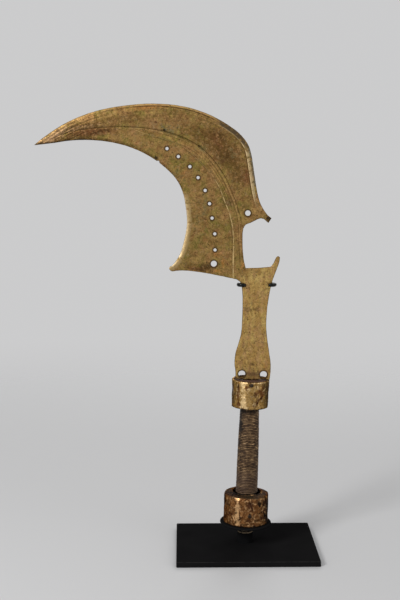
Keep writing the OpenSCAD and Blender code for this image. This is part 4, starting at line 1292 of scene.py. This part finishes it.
def wire_path():
    """Centre line of the winding: straight up out of the grip, round and round, and on up at the top."""
    low, high = WINDING_Z + 2.2, COLLAR_Z - 1.6
    pitch = (high - low) / WIRE_TURNS
    path, outs = [], []

    def put(angle, z, lift=0.0):
        outs.append(Vector(polar(1, angle)))
        path.append(outs[-1] * (grip_r(z) - WIRE_R + lift) + Vector((0, 0, z)))
    for k in range(4):
        put(WIRE_BEGIN - WIRE_END_TURN, WINDING_Z + 0.45 * k)
    for k in range(WIRE_TURNS * WIRE_STEPS + 1):
        turn = k / WIRE_STEPS
        angle = WIRE_BEGIN + 2 * math.pi * turn
        p = Vector(polar(0.8, angle, turn * 0.23))
        drift = wave(p, 1.0, (5, 0, 0))
        z = low + pitch * turn + 0.36 * drift * min(1, turn, WIRE_TURNS - turn)
        put(angle, z, 0.14 * wave(p, 2.1) + 0.16 * wave((turn * 1.7, 3, 1)))
    for k in range(1, 4):
        put(WIRE_BEGIN + 2 * math.pi * WIRE_TURNS + WIRE_END_TURN, high + 0.45 * k)
    return path, outs


def loose_strand(start, sweep, z, climb, lift):
    """A strand that slipped and lies across its neighbours."""
    path, outs = [], []
    count = max(12, int(abs(math.radians(sweep)) * 9))
    for k in range(count + 1):
        t = k / count
        height = z + climb * t + 0.3 * math.sin(t * 7)
        over = WIRE_R * lift * math.sin(math.pi * t) ** 0.5
        outs.append(Vector(polar(1, math.radians(start) + math.radians(sweep) * t)))
        path.append(outs[-1] * (grip_r(height) - WIRE_R * 0.8 + over) + Vector((0, 0, height)))
    return path, outs


def winding(material):
    parts, outward = [], []
    for number, (path, outs) in enumerate([wire_path()] + [loose_strand(*strand) for strand in LOOSE]):
        radii = []
        for k in range(len(path)):
            thin = min(1, 0.55 + 0.15 * k, 0.55 + 0.15 * (len(path) - 1 - k))
            radii.append(WIRE_R * thin * (1 + 0.08 * wave((k * 0.11, number, 0))))
        verts, faces, facing = tube(path, outs, radii, WIRE_SIDES)
        parts.append((verts, faces))
        outward += facing
    verts, faces = joined(parts)
    obj = link("grip_wire", in_knife(verts), faces, 60)
    x, y, z = np.array(verts, float).T
    # Painted shade down its left side, where the gaps between turns look black, and under the collar, and a
    # purple cast on its lower half
    left = spot(turn_from(-156, np.degrees(np.arctan2(y, x))) / 32)
    dark_and_shade = left * (0.4 + 0.8 * spot((z - 94) / 8)) + 0.5 * spot((z - 107) / 4)
    write_layers(obj, {
        "outward": outward, "dark_and_shade": np.clip(dark_and_shade, 0, 1.2), "purple": 0.75 * smoothstep(56, 42, z)})
    return piece(obj, "knife", "grip_wire", material, "grip_winding")


# The stand

# How far the plate's edges are eased, in millimetres, and the angle above which an edge is sharp
PLATE_EASE = 0.45
SHARP = math.radians(60)
# A prong's sleeve: radius in millimetres, sides, rings round its bend, and the places of the other rings as
# shares of its straight length
PRONG_R = 1.8
PRONG_SIDES = 20
BEND_RINGS = 19
STRAIGHT_RINGS = (0.2, 0.4, 0.55, 0.7, 0.82, 0.9, 0.96, 1.0)


def eased_plate():
    """The CAD plate with the sharp edges round it eased, so that they catch the light."""
    bm = welded("base_plate")
    low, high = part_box("base_plate")

    def outer(at):
        return min(at.x - low.x, high.x - at.x, at.y - low.y, high.y - at.y) < 2 * MM
    rim = [e for e in bm.edges if len(e.link_faces) == 2 and e.calc_face_angle(0) > SHARP
           and all(outer(v.co) for v in e.verts)]
    bmesh.ops.bevel(bm, geom=rim, offset=PLATE_EASE * MM, segments=3, affect="EDGES", profile=0.5)
    for face in bm.faces:
        face.smooth = abs(face.normal.z) < 0.999 and face.calc_area() < (8 * MM) ** 2
    mesh = bpy.data.meshes.new("eased_plate")
    bm.to_mesh(mesh)
    bm.free()
    obj = placed("eased_plate", mesh)
    # The eased top edge's band, which stand_paint paints lighter as a highlight
    write_layers(obj, {"edge": [0.05 < (high.z - v.co.z) / (PLATE_EASE * MM) < 0.95 for v in mesh.vertices]})
    return obj


def prong_sleeve(name, node, side, droop, material):
    """The soft sleeve on one prong, round the neck's edge, with a rounded tip that droops a little."""
    low, high = (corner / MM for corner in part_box(node))
    height = (low.z + high.z) / 2
    bend = (high.y - low.y) / 2 - PRONG_R
    centre = low.x + bend + PRONG_R if side < 0 else high.x - bend - PRONG_R
    reach = abs((high.x if side < 0 else low.x) - centre)
    path, outs, radii = [], [], []
    for k in range(BEND_RINGS):
        a = math.pi / 2 - math.pi * k / (BEND_RINGS - 1)
        path.append(Vector((centre + side * bend * math.cos(a), bend * math.sin(a), height)))
        outs.append(Vector((side * math.cos(a), math.sin(a), 0)))
        radii.append(PRONG_R)
    for t in STRAIGHT_RINGS:
        drop = droop * t * t
        path.append(Vector((centre - side * reach * t, -bend, height - drop)))
        outs.append(Vector((0, -1, 0)))
        from_tip = (1 - t) * reach / PRONG_R
        slim = 1 - 0.3 * float(smoothstep(0.3, 1, t))
        radii.append(PRONG_R * slim * math.sqrt(max(0.06, 1 - max(0.0, 1 - from_tip) ** 2)))
    verts, faces, _ = tube(path, outs, radii, PRONG_SIDES)
    obj = outwards(link(name, [v * MM for v in verts], faces, 60))
    return piece(obj, "stand", "prong_sleeve", material, node)


# Floor, light and camera

# The floor's rings, and from where to where it fades, as radii in metres
FLOOR_RINGS = (0.2, 0.6, 1.0, 1.4)
FLOOR_STEPS = 64
FADE_FROM = 0.25
FADE_TO = 1.25
# The backdrop's linear colour, the strength of the world's light, and the spot all lamps aim at
BACKDROP = (0.6, 0.6, 0.605)
SOFT_LIGHT = 0.45
LAMP_AIM = (-0.03, 0, 0.22)


def floor():
    """A pale floor that fades into the backdrop's colour far from the part."""
    steps = range(FLOOR_STEPS)
    verts = [(0, 0, 0)] + [polar(r, 2 * math.pi * k / FLOOR_STEPS) for r in FLOOR_RINGS for k in steps]
    after = [(k + 1) % FLOOR_STEPS for k in steps]
    faces = [(0, 1 + k, 1 + after[k]) for k in steps]
    for ring in range(len(FLOOR_RINGS) - 1):
        near, far = 1 + ring * FLOOR_STEPS, 1 + (ring + 1) * FLOOR_STEPS
        faces += [(near + k, far + k, far + after[k], near + after[k]) for k in steps]
    obj = link("floor", verts, faces)
    s = Shader("floor")
    s.finish(colour=BACKDROP, rough=0.85, specular=0.1)
    distance = s.add("ShaderNodeVectorMath", {0: s.place}, operation="LENGTH").outputs["Value"]
    clear = s.add("ShaderNodeBsdfTransparent").outputs[0]
    fade = s.step(distance, FADE_FROM, FADE_TO)
    blend = s.add("ShaderNodeMixShader", {0: fade, 1: s.out.outputs[0], 2: clear})
    s.put(s.tree.nodes["Material Output"].inputs["Surface"], blend.outputs[0])
    obj.data.materials.append(s.material)


def world():
    """A plain studio: its own colour to the camera and in metal, and an even soft light on the rest."""
    made = bpy.data.worlds.new("studio")
    made.use_nodes = True
    n = Nodes(made.node_tree)
    seen = n.add("ShaderNodeBackground", {"Color": opaque(BACKDROP)}).outputs[0]
    light = n.tree.nodes["Background"]
    n.put(light.inputs["Color"], (1, 1, 1, 1))
    n.put(light.inputs["Strength"], SOFT_LIGHT)
    rays = n.add("ShaderNodeLightPath").outputs
    sees = n.math("MAXIMUM", rays["Is Camera Ray"], rays["Is Glossy Ray"])
    sees = n.math("MAXIMUM", sees, rays["Is Transmission Ray"])
    blend = n.add("ShaderNodeMixShader", {0: sees, 1: light.outputs[0], 2: seen})
    n.put(n.tree.nodes["World Output"].inputs["Surface"], blend.outputs[0])
    bpy.context.scene.world = made


def lamp(name, place, size, watts):
    data = bpy.data.lights.new(name, "AREA")
    data.shape = "DISK"
    data.size = size
    data.energy = watts
    obj = placed(name, data)
    obj.location = place
    obj.rotation_euler = (Vector(LAMP_AIM) - Vector(place)).to_track_quat("-Z", "Y").to_euler()


CAMERA_AT = (-59.5 * MM, -975.2 * MM, 361.8 * MM)
CAMERA_DOWN = math.radians(7.42)
CAMERA_RIGHT = math.radians(0.98)
# Focal length and the sensor's long side, in millimetres
LENS = 64.5
SENSOR = 36


def camera():
    data = bpy.data.cameras.new("camera")
    data.lens = LENS
    data.sensor_width = SENSOR
    data.clip_start = 0.02
    data.clip_end = 50
    obj = placed("camera", data)
    obj.location = CAMERA_AT
    obj.rotation_euler = (math.pi / 2 - CAMERA_DOWN, 0, -CAMERA_RIGHT)
    bpy.context.scene.camera = obj


def dress(material, *names):
    for name in names:
        nodes[name].data.materials.clear()
        nodes[name].data.materials.append(material)


camera()
world()
floor()
lamp("key", (-0.95, -0.95, 0.9), 0.5, 14)
lamp("fill", (1.1, -0.9, 0.6), 0.9, 3)
lamp("rim", (0.2, 1.2, 0.9), 0.8, 5)

wood = handle_wood("handle_wood", rgb(44, 32, 23))
paint = stand_paint()
sleeve_black = prong_rubber()
copper = pommel_copper()
iron = tack_iron()
dress(handle_wood("collar_wood", rgb(96, 62, 46)), "collar_core")
dress(wood, "grip_core", "pommel_core")
dress(paint, "support_disc", "back_rod", "prong_yoke")
dress(stem_paint(), "stem")
dress(screw_steel(), "stem_screw")
dress(copper, "pommel_base")
blade(blade_brass())
collar_sheet(collar_brass())
pommel_sheet(copper)
pommel_top(copper)
tack_heads("collar_tack_heads", COLLAR_Z, COLLAR_TACKS, iron, "collar_tacks")
tack_heads("pommel_tack_heads", 0, POMMEL_TACKS, iron, "pommel_tacks")
winding(grip_wire())
piece(eased_plate(), "stand", "stand_paint", paint, "base_plate")
prong_sleeve("left_sleeve", "left_prong_sleeve", -1, 1.6, sleeve_black)
prong_sleeve("right_sleeve", "right_prong_sleeve", 1, 1.4, sleeve_black)

bpy.context.scene.view_settings.view_transform = "Standard"
bpy.context.view_layer.update()
